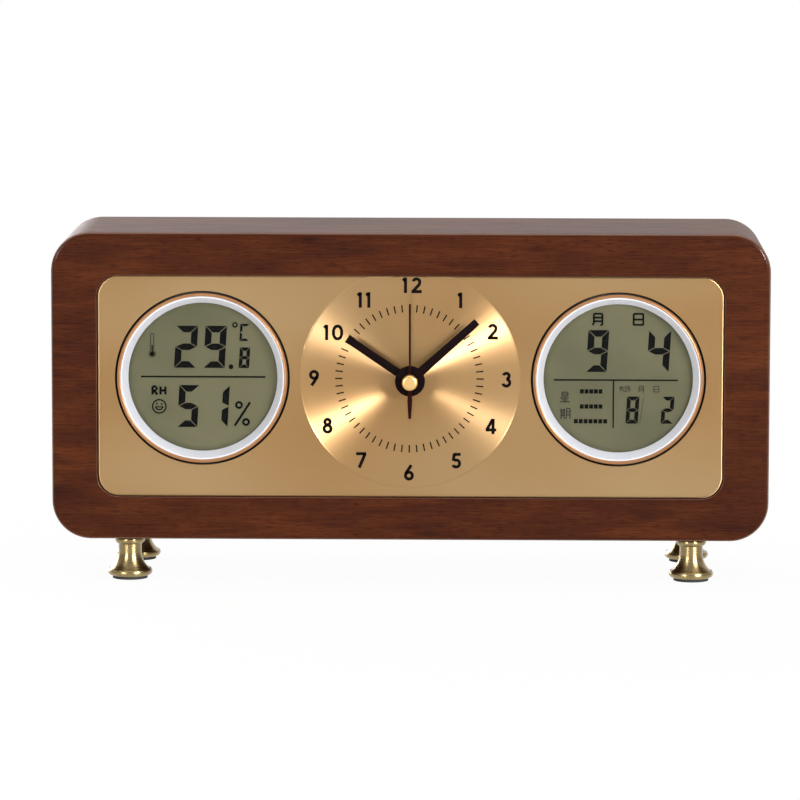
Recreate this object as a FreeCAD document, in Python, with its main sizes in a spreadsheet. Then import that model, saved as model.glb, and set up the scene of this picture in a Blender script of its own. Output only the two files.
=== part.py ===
"""Desk clock with calendar: wooden case, gold panel, quartz hands and two round display inserts.

The frame has its origin on the floor under the middle of the clock, +Z up, the dial facing -Y and
+X to the right as seen from the front. Lengths are in millimetres.
"""

import FreeCAD
import Part
import math
import os
import re
import Sketcher

SIZES = {
    # case and panels
    "case_length": 250.0,
    "case_height": 107.6,
    "case_depth": 63.0,
    "case_corner": 13.5,
    "case_edge_round": 1.4,
    "panel_length": 218.0,
    "panel_height": 77.4,
    "panel_corner": 7.5,
    "panel_thickness": 1.5,
    "panel_recess": 0.8,
    "panel_gap": 0.15,
    "panel_bevel": 0.7,
    "web_thickness": 8.7,
    "cavity_length": 212.0,
    "cavity_height": 72.0,
    "cavity_corner": 16.0,
    "back_length": 219.4,
    "back_height": 78.4,
    "back_corner": 8.0,
    "back_thickness": 3.0,
    "ledge_step": 0.5,
    "back_gap": 0.3,
    "opening_gap": 0.4,
    "screw_inset": 5.5,
    "screw_length": 12.0,
    "screw_shank": 1.4,
    "screw_head": 2.8,
    "screw_head_height": 1.6,
    "screw_gap": 0.1,
    # dial
    "dial_rise": 2.9,
    "dial_radius": 38.6,
    "dial_dish": 0.25,
    "dial_rim": 1.2,
    "dial_groove": 0.5,
    # feet
    "foot_height": 15.0,
    "foot_spread": 98.5,
    "foot_inset": 9.5,
    "foot_flange": 7.8,
    "foot_flange_height": 2.4,
    "foot_sole": 6.5,
    "foot_neck": 4.35,
    "foot_collar": 5.3,
    "foot_collar_height": 2.8,
    "foot_flare_height": 6.0,
    "pad_radius": 6.15,
    "pad_thickness": 1.0,
    "stud_radius": 2.0,
    "stud_engagement": 12.0,
    "stud_in_foot": 8.0,
    "stud_gap": 0.1,
    # display inserts
    "insert_spread": 72.4,
    "insert_radius": 30.0,
    "insert_gap": 0.5,
    "insert_wall": 1.1,
    "insert_depth": 26.5,
    "insert_flange": 32.5,
    "insert_flange_thickness": 2.0,
    "insert_rear_radius": 30.9,
    "insert_ledge": 1.5,
    "ring_width": 1.4,
    "ring_proud": 0.5,
    "ring_round": 0.45,
    "ring_depth": 2.7,
    "window_radius": 26.0,
    "bezel_depth": 3.6,
    "bezel_gap": 0.05,
    "lens_thickness": 1.0,
    "cell_across": 52.6,
    "cell_corner_cut": 15.4,
    "cell_glass": 1.1,
    "cell_shelf": 2.4,
    "strip_length": 20.0,
    "strip_width": 2.0,
    "strip_height": 3.2,
    "board_thickness": 1.2,
    "board_gap": 0.3,
    "switch_side": 4.5,
    "switch_height": 3.0,
    "chip_radius": 5.0,
    "chip_height": 1.2,
    "cover_thickness": 1.6,
    "coin_radius": 10.0,
    "coin_thickness": 3.2,
    "coin_gap": 0.35,
    "coin_wall": 1.2,
    "coin_rise": 9.0,
    "unlock_angle": 40.0,
    "contact_thickness": 0.2,
    "contact_width": 5.0,
    "door_radius": 10.6,
    "door_gap": 0.3,
    "door_thickness": 1.3,
    "door_slot": 1.2,
    "lug_reach": 1.3,
    "lug_thickness": 0.9,
    "lug_width": 4.0,
    "button_radius": 2.2,
    "button_proud": 1.2,
    "button_gap": 0.3,
    "button_collar": 0.9,
    "button_travel": 0.6,
    "button_spacing": 9.5,
    "button_drop": 17.0,
    "insert_screw_circle": 29.15,
    "insert_screw_shank": 0.8,
    "insert_screw_head": 1.5,
    "insert_screw_head_height": 0.9,
    "insert_screw_length": 6.0,
    # quartz movement
    "movement_side": 56.0,
    "movement_corner": 3.5,
    "movement_depth": 17.5,
    "movement_wall": 1.5,
    "movement_floor": 1.5,
    "bush_radius": 3.3,
    "bush_proud": 3.0,
    "bush_gap": 0.15,
    "train_floor": 11.4,
    "train_height": 13.0,
    "train_cover": 1.4,
    "battery_radius": 7.15,
    "battery_length": 50.0,
    "battery_button": 2.7,
    "battery_drop": 19.6,
    "bay_height": 14.8,
    "terminal_thickness": 0.3,
    "terminal_width": 8.0,
    "plate_thickness": 0.8,
    "plate_left": 16.9,
    "plate_right": 22.0,
    "plate_top": 24.0,
    "post_radius": 1.6,
    "arbor_radius": 0.45,
    "arbor_gap": 0.06,
    "train_clearance": 0.5,
    "reverse_pin": 0.8,
    "wheel_thickness": 0.8,
    "pinion_length": 1.5,
    "third_distance": 11.8,
    "third_angle": 100.0,
    "reverse_distance": 9.6,
    "reverse_angle": 0.0,
    "knob_angle": 35.0,
    "intermediate_distance": 7.2,
    "intermediate_angle": 200.0,
    "rotor_distance": 7.0,
    "rotor_angle": 170.0,
    "magnet_radius": 2.4,
    "magnet_length": 2.0,
    "pole_gap": 0.6,
    "stator_thickness": 1.0,
    "pole_width": 1.7,
    "coil_radius": 2.9,
    "coil_length": 14.0,
    "coil_drop": 4.6,
    "coil_left": 21.3,
    "return_leg": 15.2,
    "leg_width": 2.4,
    "centre_tube": 1.0,
    "cannon_radius": 1.6,
    "hour_pipe_radius": 2.3,
    "pipe_gap": 0.08,
    "knob_radius": 6.5,
    "knob_height": 3.0,
    "knob_stem": 1.5,
    "circuit_length": 11.0,
    "circuit_height": 11.0,
    "crystal_radius": 1.0,
    "crystal_length": 6.0,
    # hands, as distances in front of the gold panel
    "nut_radius": 4.6,
    "nut_height": 2.4,
    "nut_slot": 1.0,
    "hand_thickness": 0.5,
    "hub_radius": 5.2,
    "hour_level": 5.6,
    "minute_level": 7.6,
    "second_level": 9.6,
    "collet_wall": 0.8,
    "collet_length": 1.0,
    "press_gap": 0.02,
    "hour_hand_length": 26.3,
    "hour_hand_width": 2.9,
    "hour_hand_tip": 2.7,
    "minute_hand_length": 31.2,
    "minute_hand_width": 3.1,
    "minute_hand_tip": 2.6,
    "second_hand_length": 27.2,
    "second_hand_width": 0.67,
    "second_hand_thickness": 0.3,
    "second_tail_length": 12.8,
    "second_tail_neck": 1.0,
    "second_tail_width": 1.7,
    "second_tail_end": 0.9,
    "second_tail_widest": 6.5,
    "second_hub": 1.9,
    "cap_radius": 2.7,
    "cap_round": 0.9,
    "cap_front": 13.4,
    "hour_hand_angle": 304.0,
    "minute_hand_angle": 48.0,
    "second_hand_angle": 0.0,
}

# Depths behind the front face of the case, and the insert's own planes, as formulas of the sizes.
PANEL_BACK = "(panel_recess + panel_thickness)"
WEB_BACK = f"({PANEL_BACK} + web_thickness)"
LEDGE = "(insert_depth + ledge_step)"
FRONT_FACE = "((cap_front - panel_recess - case_depth) / 2)"
CASE_CENTRE = "(foot_height + case_height / 2)"
DIAL_CENTRE = f"({CASE_CENTRE} + dial_rise)"
RING_INNER = "(insert_radius - ring_width)"
RING_BACK = "(panel_recess - ring_proud + ring_depth)"
LENS_FRONT = "(panel_recess + bezel_depth)"
CELL_FRONT = f"({LENS_FRONT} + lens_thickness)"
CELL_BACK = f"({CELL_FRONT} + 2 * cell_glass)"
BOARD_FRONT = f"({CELL_FRONT} + cell_glass + strip_height)"
BOARD_BACK = f"({BOARD_FRONT} + board_thickness)"
COVER_BACK = "(insert_depth + cover_thickness)"
TUBE_INNER = "(insert_radius - insert_wall)"
LUG_BACK = "(insert_depth - door_gap)"
LUG_FRONT = f"({LUG_BACK} - lug_thickness)"
COIN_BACK = f"({LUG_FRONT} - coin_gap)"
COIN_FRONT = f"({COIN_BACK} - coin_thickness)"
TRAIN_BACK = "(train_height + train_cover)"
SECOND_TIP = "(cap_front - 2 * cap_round)"

DIRECTIONS = {"left": -1, "right": 1}
FACING = FreeCAD.Rotation(FreeCAD.Vector(1, 0, 0), 90)
UPRIGHT = FreeCAD.Rotation()
TOWARD_VIEWER = FreeCAD.Vector(0, 0, 1)

# Teeth of the train and of the motion work.
TEETH = {
    "rotor": 8,
    "intermediate": 48,
    "intermediate_pinion": 8,
    "second": 40,
    "second_pinion": 8,
    "third": 60,
    "third_pinion": 8,
    "centre": 64,
    "cannon": 12,
    "reverse": 36,
    "reverse_pinion": 10,
    "hour": 40,
    "knob": 12,
}
# Tooth form in modules and in shares of the pitch: addendum, dedendum, half tip, half root.
WHEEL_FORM = (0.75, 1.1, 0.09, 0.21)
PINION_FORM = (0.6, 1.25, 0.1, 0.17)
KNOB_FORM = (0.2, 0.2, 0.18, 0.3)
KNOB_FLUTES = 18
# Each pair in mesh: the distance between its axes, the direction from the first, a half turn.
MESHES = {
    ("centre", "third_pinion"): ("third_distance", "third_angle", 0.0),
    ("third", "second_pinion"): ("third_distance", "third_angle", 180.0),
    ("second", "intermediate_pinion"): ("intermediate_distance", "intermediate_angle", 0.0),
    ("intermediate", "rotor"): ("rotor_distance", "rotor_angle", 0.0),
    ("cannon", "reverse"): ("reverse_distance", "reverse_angle", 0.0),
    ("reverse_pinion", "hour"): ("reverse_distance", "reverse_angle", 180.0),
    ("reverse", "knob"): ("reverse_distance", "knob_angle", 0.0),
}
# Steps (distance, direction) from the centre arbor to each axis of the movement.
AXES = {
    "centre": (),
    "third": (("third_distance", "third_angle"),),
    "reverse": (("reverse_distance", "reverse_angle"),),
    "knob": (("reverse_distance", "reverse_angle"), ("reverse_distance", "knob_angle")),
    "intermediate": (("intermediate_distance", "intermediate_angle"),),
    "rotor": (
        ("intermediate_distance", "intermediate_angle"),
        ("rotor_distance", "rotor_angle"),
    ),
}
# Radius of the feet's bead as a share of the collar's height: just over half makes it full.
BEAD_FULLNESS = 0.56


def make_sheet(doc):
    """Spreadsheet that holds every driving dimension, one alias a row."""
    sheet = doc.addObject("Spreadsheet::Sheet", "Sizes")
    for row, (name, size) in enumerate(SIZES.items(), start=1):
        sheet.set(f"A{row}", name)
        sheet.set(f"B{row}", str(size))
        sheet.setAlias(f"B{row}", name)
    doc.recompute()
    return sheet


def formula(text):
    """Expression that reads each named size of text from the sheet."""
    return re.sub(r"\b([a-z_]+)\b(?!\()", r"Sizes.\1", str(text))


def value(text):
    """Number that a formula of the sizes comes to."""
    result = FreeCAD.ActiveDocument.getObject("Sizes").evalExpression(formula(text))
    return float(getattr(result, "Value", result))


def bind(item, prop, text):
    """Drive a property by a formula of the sizes."""
    item.setExpression(prop, formula(text))


def place(item, x, depth, height, rotation=FACING):
    """Put an object's own origin at x, at a depth behind the case's front, at a height."""
    item.Placement = FreeCAD.Placement(FreeCAD.Vector(), rotation)
    bind(item, "Placement.Base.x", x)
    bind(item, "Placement.Base.y", f"{FRONT_FACE} + {depth}")
    bind(item, "Placement.Base.z", height)


def new_body(label, x="0", depth="0", height=DIAL_CENTRE, rotation=FACING):
    """Body whose own z axis points at the viewer, or up where rotation is UPRIGHT."""
    body = FreeCAD.ActiveDocument.addObject("PartDesign::Body", label)
    body.Label = label
    place(body, x, depth, height, rotation)
    return body


def new_sketch(body, role="XY_Plane", offset="0"):
    """Empty sketch on one of the body's own origin planes."""
    sketch = body.newObject("Sketcher::SketchObject", f"{body.Label}_sketch")
    plane = next(item for item in body.Origin.OriginFeatures if item.Role == role)
    sketch.AttachmentSupport = [(plane, "")]
    sketch.MapMode = "FlatFace"
    bind(sketch, "AttachmentOffset.Base.z", offset)
    return sketch


def drive(sketch, constraint, text):
    """Add a dimension to a sketch and drive it by a formula."""
    index = sketch.addConstraint(constraint)
    bind(sketch, f"Constraints[{index}]", text)


def pin_point(sketch, geometry, position, x, y):
    """Fix a sketch point at formulas x and y from the sketch's origin."""
    for kind, text in (("DistanceX", x), ("DistanceY", y)):
        drive(sketch, Sketcher.Constraint(kind, -1, 1, geometry, position, value(text)), text)


def arc_between(start, end, radius, turn):
    """Arc of a radius from start to end, the short way round, to the left where turn is 1."""
    chord = end - start
    offset = math.sqrt(max(radius**2 - chord.Length**2 / 4, 0.0))
    normal = FreeCAD.Vector(-chord.y, chord.x, 0).normalize()
    centre = start + chord * 0.5 + normal * (offset * turn)
    angles = [math.atan2(point.y - centre.y, point.x - centre.x) for point in (start, end)]
    if turn < 0:
        angles.reverse()
    circle = Part.Circle(centre, FreeCAD.Vector(0, 0, 1), radius)
    return Part.ArcOfCircle(circle, *angles)


def add_outline(sketch, corners):
    """Closed outline through corners (x, y), or (x, y, radius, turn) where an arc follows."""
    points = [FreeCAD.Vector(value(corner[0]), value(corner[1]), 0) for corner in corners]
    first = sketch.GeometryCount
    ends = []
    for index, corner in enumerate(corners):
        start = points[index]
        end = points[(index + 1) % len(points)]
        if len(corner) == 2:
            sketch.addGeometry(Part.LineSegment(start, end))
            ends.append((1, 2))
        else:
            sketch.addGeometry(arc_between(start, end, value(corner[2]), corner[3]))
            ends.append((1, 2) if corner[3] > 0 else (2, 1))
    for index, corner in enumerate(corners):
        following = (index + 1) % len(corners)
        pin_point(sketch, first + index, ends[index][0], corner[0], corner[1])
        sketch.addConstraint(
            Sketcher.Constraint(
                "Coincident", first + index, ends[index][1], first + following, ends[following][0]
            )
        )
        if len(corner) == 4:
            radius = Sketcher.Constraint("Radius", first + index, value(corner[2]))
            drive(sketch, radius, corner[2])


def add_circle(sketch, radius, x="0", y="0"):
    """Circle at formulas x and y."""
    centre = FreeCAD.Vector(value(x), value(y), 0)
    index = sketch.addGeometry(Part.Circle(centre, FreeCAD.Vector(0, 0, 1), value(radius)))
    pin_point(sketch, index, 3, x, y)
    drive(sketch, Sketcher.Constraint("Radius", index, value(radius)), radius)


def add_rounded(sketch, width, height, corner, x="0", y="0"):
    """Rectangle with rounded corners, centred at x and y."""
    left, right = f"{x} - ({width}) / 2", f"{x} + ({width}) / 2"
    low, high = f"{y} - ({height}) / 2", f"{y} + ({height}) / 2"
    add_outline(
        sketch,
        [
            (f"{left} + {corner}", low),
            (f"{right} - {corner}", low, corner, 1),
            (right, f"{low} + {corner}"),
            (right, f"{high} - {corner}", corner, 1),
            (f"{right} - {corner}", high),
            (f"{left} + {corner}", high, corner, 1),
            (left, f"{high} - {corner}"),
            (left, f"{low} + {corner}", corner, 1),
        ],
    )


def add_box(sketch, left, right, low, high):
    """Rectangle between four formulas."""
    add_outline(sketch, [(left, low), (right, low), (right, high), (left, high)])


def pad(sketch, length, toward_viewer=True):
    """Extrude a sketch from its plane."""
    body = sketch.getParentGeoFeatureGroup()
    feature = body.newObject("PartDesign::Pad", f"{body.Label}_pad")
    feature.Profile = sketch
    feature.Reversed = not toward_viewer
    bind(feature, "Length", length)
    return feature


def cut(sketch, depth=None, toward_viewer=False):
    """Cut a sketch out of its body, to a depth or right through."""
    body = sketch.getParentGeoFeatureGroup()
    before = recomputed_volume(body)
    feature = body.newObject("PartDesign::Pocket", f"{body.Label}_cut")
    feature.Profile = sketch
    feature.Reversed = toward_viewer
    if depth is None:
        feature.Type = "ThroughAll"
        feature.Midplane = True
    else:
        bind(feature, "Length", depth)
    if recomputed_volume(body) >= before:
        raise RuntimeError(f"a cut in {body.Label} removes nothing")
    return feature


def recomputed_volume(body):
    """Volume of a body as its features stand."""
    FreeCAD.ActiveDocument.recompute()
    return body.Shape.Volume


def revolve(sketch, remove=False):
    """Turn a sketch of radii and heights round the body's own z axis."""
    body = sketch.getParentGeoFeatureGroup()
    kind = "PartDesign::Groove" if remove else "PartDesign::Revolution"
    before = recomputed_volume(body) if remove else 0.0
    feature = body.newObject(kind, f"{body.Label}_turned")
    feature.Profile = sketch
    feature.ReferenceAxis = (sketch, ["V_Axis"])
    feature.Angle = 360
    if remove and recomputed_volume(body) >= before:
        raise RuntimeError(f"a groove in {body.Label} removes nothing")
    return feature


def turned(label, corners, **where):
    """Body turned from one outline of (radius, height) corners."""
    body = new_body(label, **where)
    sketch = new_sketch(body, "XZ_Plane")
    add_outline(sketch, corners)
    revolve(sketch)
    return body


def tube(label, inner, outer, back, front, **where):
    """Plain ring or, where inner is 0, a disc."""
    return turned(label, [(inner, back), (outer, back), (outer, front), (inner, front)], **where)


def round_edges(body, radius, keep):
    """Round the edges of the body's last feature that keep accepts."""
    FreeCAD.ActiveDocument.recompute()
    tip = body.Tip
    names = [f"Edge{number}" for number, edge in enumerate(tip.Shape.Edges, 1) if keep(edge)]
    if not names:
        raise RuntimeError(f"no edge to round on {body.Label}")
    feature = body.newObject("PartDesign::Fillet", f"{body.Label}_round")
    feature.Base = (tip, names)
    bind(feature, "Radius", radius)
    return feature


def on_level(*levels, reach=0.01):
    """Test for edges that lie wholly on one of the levels of the body's own z axis."""

    def keep(edge):
        low, high = edge.BoundBox.ZMin, edge.BoundBox.ZMax
        return high - low < reach and any(abs(low - level) < reach for level in levels)

    return keep


def fixed_shape(label, shape, x="0", depth="0", height=DIAL_CENTRE, rotation=FACING):
    """Feature whose shape is worked out in code, placed like a body."""
    feature = FreeCAD.ActiveDocument.addObject("Part::Feature", label)
    feature.Label = label
    feature.Shape = shape
    place(feature, x, depth, height, rotation)
    return feature


def rounded_at(label, corners_of, **where):
    """Body padded from one rounded rectangle: width, height, corner, middle, length."""
    width, height, corner, middle, length = corners_of
    body = new_body(label, **where)
    outline = new_sketch(body)
    add_rounded(outline, width, height, corner, "0", middle)
    pad(outline, length)
    return body


def case_body():
    """Routed wooden case: panel seat, web, cavity and recessed back ledge."""
    body = new_body("case_body")
    outline = new_sketch(body)
    add_rounded(outline, "case_length", "case_height", "case_corner", "0", "-dial_rise")
    pad(outline, "case_depth", toward_viewer=False)
    round_edges(body, "case_edge_round", on_level(0.0, -value("case_depth")))
    seat = new_sketch(body)
    seat_size = ("panel_length + 2 * panel_gap", "panel_height + 2 * panel_gap")
    add_rounded(seat, *seat_size, "panel_corner + panel_gap", "0", "-dial_rise")
    cut(seat, PANEL_BACK)
    cavity = new_sketch(body, offset=f"-{WEB_BACK}")
    add_rounded(cavity, "cavity_length", "cavity_height", "cavity_corner", "0", "-dial_rise")
    cut(cavity, f"case_depth - {WEB_BACK}")
    recess = new_sketch(body, offset=f"-{LEDGE}")
    recess_size = ("back_length + 2 * back_gap", "back_height + 2 * back_gap")
    add_rounded(recess, *recess_size, "back_corner", "0", "-dial_rise")
    cut(recess, f"case_depth - {LEDGE}")
    holes = new_sketch(body, offset=f"-{PANEL_BACK}")
    for side in DIRECTIONS.values():
        add_circle(holes, "insert_radius + opening_gap", f"{side} * insert_spread")
    add_circle(holes, "bush_radius + opening_gap")
    cut(holes, "web_thickness")
    pilots = new_sketch(body, offset=f"-{LEDGE}")
    for x, y in back_screw_places():
        add_circle(pilots, "screw_shank + screw_gap", x, y)
    cut(pilots, "screw_length", toward_viewer=True)
    studs = new_sketch(body, "XZ_Plane", "case_height / 2 + dial_rise")
    for x, depth in foot_places():
        add_circle(studs, "stud_radius + stud_gap", x, f"-{depth}")
    cut(studs, "stud_engagement + stud_gap")
    return body


def back_screw_places():
    """Formulas of the back screws' places from the dial centre."""
    across = "(back_length / 2 - screw_inset)"
    upright = "(back_height / 2 - screw_inset)"
    signs = [(x, y) for x in (-1, 1) for y in (-1, 1)]
    return [(f"{x} * {across}", f"{y} * {upright} - dial_rise") for x, y in signs]


def foot_places():
    """Formulas of the feet's places: x, and depth behind the case's front."""
    depths = ("foot_inset", "(case_depth - foot_inset)")
    return [(f"{x} * foot_spread", depth) for depth in depths for x in (-1, 1)]


def front_panel():
    """Gold panel with the turned dial, the insert holes and the bush hole."""
    body = rounded_at(
        "front_panel",
        ("panel_length", "panel_height", "panel_corner", "-dial_rise", "panel_thickness"),
        depth=PANEL_BACK,
    )
    round_edges(body, "panel_bevel", on_level(value("panel_thickness")))
    holes = new_sketch(body)
    for side in DIRECTIONS.values():
        add_circle(holes, "insert_radius + insert_gap", f"{side} * insert_spread")
    add_circle(holes, "bush_radius + bush_gap")
    cut(holes)
    floor = "panel_thickness - dial_dish"
    groove = "(dial_radius - 2 * dial_rim)"
    profile = new_sketch(body, "XZ_Plane")
    add_outline(
        profile,
        [
            ("0", floor),
            (f"{groove} - dial_groove", floor),
            (f"{groove} - dial_groove / 2", f"{floor} - dial_groove / 4"),
            (groove, floor),
            ("dial_radius - dial_dish", floor),
            ("dial_radius", "panel_thickness"),
            ("dial_radius", "2 * panel_thickness"),
            ("0", "2 * panel_thickness"),
        ],
    )
    revolve(profile, remove=True)
    return body


def back_panel():
    """Board on the back ledge with openings for the inserts and the movement."""
    body = rounded_at(
        "back_panel",
        ("back_length", "back_height", "back_corner - back_gap", "-dial_rise", "back_thickness"),
        depth=f"{LEDGE} + back_thickness",
    )
    holes = new_sketch(body)
    for side in DIRECTIONS.values():
        add_circle(holes, "insert_rear_radius + opening_gap", f"{side} * insert_spread")
    side = "movement_side + 2 * opening_gap"
    add_rounded(holes, side, side, "movement_corner + opening_gap")
    for x, y in back_screw_places():
        add_circle(holes, "screw_shank + screw_gap", x, y)
    cut(holes)
    return body


def screw_shape(head, head_height, shank, length):
    """Pan-head screw along +z, its head's seat at z = 0."""
    lip = value(f"{head_height} / 3")
    crown = value(head) - value(f"{head_height} / 2")
    points = [
        (0, -value(head_height)),
        (crown, -value(head_height)),
        (value(head), -lip),
        (value(head), 0),
        (value(shank), 0),
        (value(shank), value(length) - value(shank)),
        (0, value(length)),
    ]
    wire = Part.makePolygon([FreeCAD.Vector(r, 0, z) for r, z in points + points[:1]])
    return Part.Face(wire).revolve(FreeCAD.Vector(), TOWARD_VIEWER, 360)


def group(label, shape, places, **where):
    """Separate copies of one solid at formulas (x, y, z) of the group's own frame."""
    copies = []
    for place_of in places:
        copy = shape.copy()
        copy.translate(FreeCAD.Vector(*[value(text) for text in place_of]))
        copies.append(copy)
    return fixed_shape(label, Part.makeCompound(copies), **where)


def back_panel_screws():
    """Four screws that hold the back panel on its ledge."""
    shape = screw_shape("screw_head", "screw_head_height", "screw_shank", "screw_length")
    places = [(x, y, "0") for x, y in back_screw_places()]
    return group("back_panel_screws", shape, places, depth=f"{LEDGE} + back_thickness")


def upright_radius(across, along):
    """Radius of an arc that ends upright after it goes across and along."""
    return f"((({across})^2 + ({along})^2) / (2 * ({across})))"


def feet():
    """Four turned feet: a flange, a flare up to the neck and a beaded collar."""
    flange_step = "foot_neck / 10"
    flare_foot = f"(foot_flange - 2 * {flange_step})"
    flare_low = "(foot_flange_height + pad_thickness)"
    flare_high = f"({flare_low} + foot_flare_height)"
    bead_low = "(foot_height - foot_collar_height)"
    sole_rise = "(foot_flange_height - pad_thickness)"
    sole_arc = upright_radius("foot_flange - foot_sole", sole_rise)
    brim_arc = upright_radius(flange_step, "pad_thickness")
    flare_arc = upright_radius(f"{flare_foot} - foot_neck", "foot_flare_height")
    bore = "stud_radius + stud_gap"
    profile = [
        ("0", "pad_thickness"),
        ("foot_sole", "pad_thickness", sole_arc, 1),
        ("foot_flange", "foot_flange_height", brim_arc, 1),
        (f"foot_flange - {flange_step}", flare_low),
        (flare_foot, flare_low, flare_arc, -1),
        ("foot_neck", flare_high),
        ("foot_neck", bead_low, f"foot_collar_height * {BEAD_FULLNESS}", 1),
        ("foot_collar", "foot_height"),
        (bore, "foot_height"),
        (bore, "foot_height - stud_in_foot"),
        ("0", "foot_height - stud_in_foot"),
    ]
    names = ("front_left", "front_right", "rear_left", "rear_right")
    made = []
    for name, (x, depth) in zip(names, foot_places()):
        made.append(turned(f"foot_{name}", profile, x=x, depth=depth, height="0", rotation=UPRIGHT))
    return made


def foot_pads():
    """Four rubber pads under the feet."""
    pad_shape = Part.makeCylinder(value("pad_radius"), value("pad_thickness"))
    places = [(x, depth, "0") for x, depth in foot_places()]
    return group("foot_pads", pad_shape, places, height="0", rotation=UPRIGHT)


def foot_studs():
    """Four studs that join the feet to the case."""
    low = "(foot_height - stud_in_foot + stud_gap)"
    length = value(f"foot_height + stud_engagement - {low}")
    stud = Part.makeCylinder(value("stud_radius"), length)
    places = [(x, depth, low) for x, depth in foot_places()]
    return group("foot_studs", stud, places, height="0", rotation=UPRIGHT)


def insert_front(name, where):
    """What shows of an insert: its trim ring, conical bezel, lens and display cell."""
    front = "(panel_recess - ring_proud)"
    lip = "(insert_radius - ring_round)"
    inner_lip = f"({RING_INNER} + ring_round)"
    ring = turned(
        f"{name}_trim_ring",
        [
            (RING_INNER, f"-{RING_BACK}"),
            ("insert_radius", f"-{RING_BACK}"),
            ("insert_radius", f"-{front} - ring_round", "ring_round", 1),
            (lip, f"-{front}"),
            (inner_lip, f"-{front}", "ring_round", 1),
            (RING_INNER, f"-{front} - ring_round"),
        ],
        **where,
    )
    rim = f"({RING_INNER} - bezel_gap)"
    bezel = turned(
        f"{name}_bezel",
        [
            ("window_radius", f"-{LENS_FRONT}"),
            (rim, f"-{LENS_FRONT}"),
            (rim, f"-{front} - ring_round"),
            (f"{rim} - ring_round", f"-{front} - ring_round"),
            ("window_radius", f"-{LENS_FRONT} + ring_round"),
        ],
        **where,
    )
    fit = f"({TUBE_INNER} - board_gap)"
    lens = tube(f"{name}_lens", "0", fit, f"-{CELL_FRONT}", f"-{LENS_FRONT}", **where)
    cell = new_body(f"{name}_display_cell", **where)
    for offset, shelf in ((f"{CELL_FRONT} + cell_glass", "0"), (CELL_BACK, "cell_shelf")):
        glass = new_sketch(cell, offset=f"-({offset})")
        half, cut_off = "cell_across / 2", f"(cell_corner_cut - {shelf})"
        top = f"(cell_across / 2 - {shelf})"
        corners = [
            (half, f"{top} - {cut_off}"),
            (f"{half} - {cut_off}", top),
            (f"-{half} + {cut_off}", top),
            (f"-{half}", f"{top} - {cut_off}"),
        ]
        add_outline(glass, [(x, f"-({y})") for x, y in reversed(corners)] + corners)
        pad(glass, "cell_glass")
    return [ring, bezel, lens, cell]


def insert_inside(name, buttons, where):
    """Contact strips, circuit board with its switches, and housing."""
    strip = Part.makeBox(value("strip_length"), value("strip_width"), value("strip_height"))
    corner = ("-strip_length / 2", f"-{CELL_FRONT} - cell_glass - strip_height")
    spread = "(cell_across / 2 - cell_shelf / 2)"
    rows = [f"{side} * {spread} - strip_width / 2" for side in (-1, 1)]
    places = [(corner[0], row, corner[1]) for row in rows]
    strips = group(f"{name}_contact_strips", strip, places, **where)
    board = new_body(f"{name}_circuit_board", **where)
    disc = new_sketch(board, offset=f"-{BOARD_BACK}")
    add_circle(disc, f"{TUBE_INNER} - board_gap")
    pad(disc, "board_thickness")
    chip = new_sketch(board, offset=f"-{BOARD_BACK}")
    add_circle(chip, "chip_radius", "-coin_rise", "0")
    pad(chip, "chip_height", toward_viewer=False)
    for x in buttons:
        switch = new_sketch(board, offset=f"-{BOARD_BACK}")
        half = "switch_side / 2"
        middle = f"{x} * button_spacing"
        sides = (f"{middle} - {half}", f"{middle} + {half}")
        add_box(switch, *sides, f"-button_drop - {half}", f"-button_drop + {half}")
        pad(switch, "switch_height", toward_viewer=False)
    housing = turned(
        f"{name}_housing",
        [
            (TUBE_INNER, f"-{RING_BACK}"),
            ("insert_radius", f"-{RING_BACK}"),
            ("insert_radius", f"-{WEB_BACK}"),
            ("insert_flange", f"-{WEB_BACK}"),
            ("insert_flange", f"-{WEB_BACK} - insert_flange_thickness"),
            ("insert_rear_radius", f"-{WEB_BACK} - insert_flange_thickness"),
            ("insert_rear_radius", "-insert_depth"),
            (f"{TUBE_INNER} - insert_ledge", "-insert_depth"),
            (f"{TUBE_INNER} - insert_ledge", f"-{BOARD_BACK}"),
            (TUBE_INNER, f"-{BOARD_BACK}"),
        ],
        **where,
    )
    pilots = new_sketch(housing, offset="-insert_depth")
    for x, y in insert_screw_places():
        add_circle(pilots, "insert_screw_shank + screw_gap", x, y)
    cut(pilots, "insert_screw_length", toward_viewer=True)
    return [strips, board, housing]


def insert_screw_places():
    """Formulas of an insert's four cover screws from its axis."""
    reach = "insert_screw_circle * cos(45)"
    return [(f"{x} * {reach}", f"{y} * {reach}") for x in (-1, 1) for y in (-1, 1)]


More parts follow.
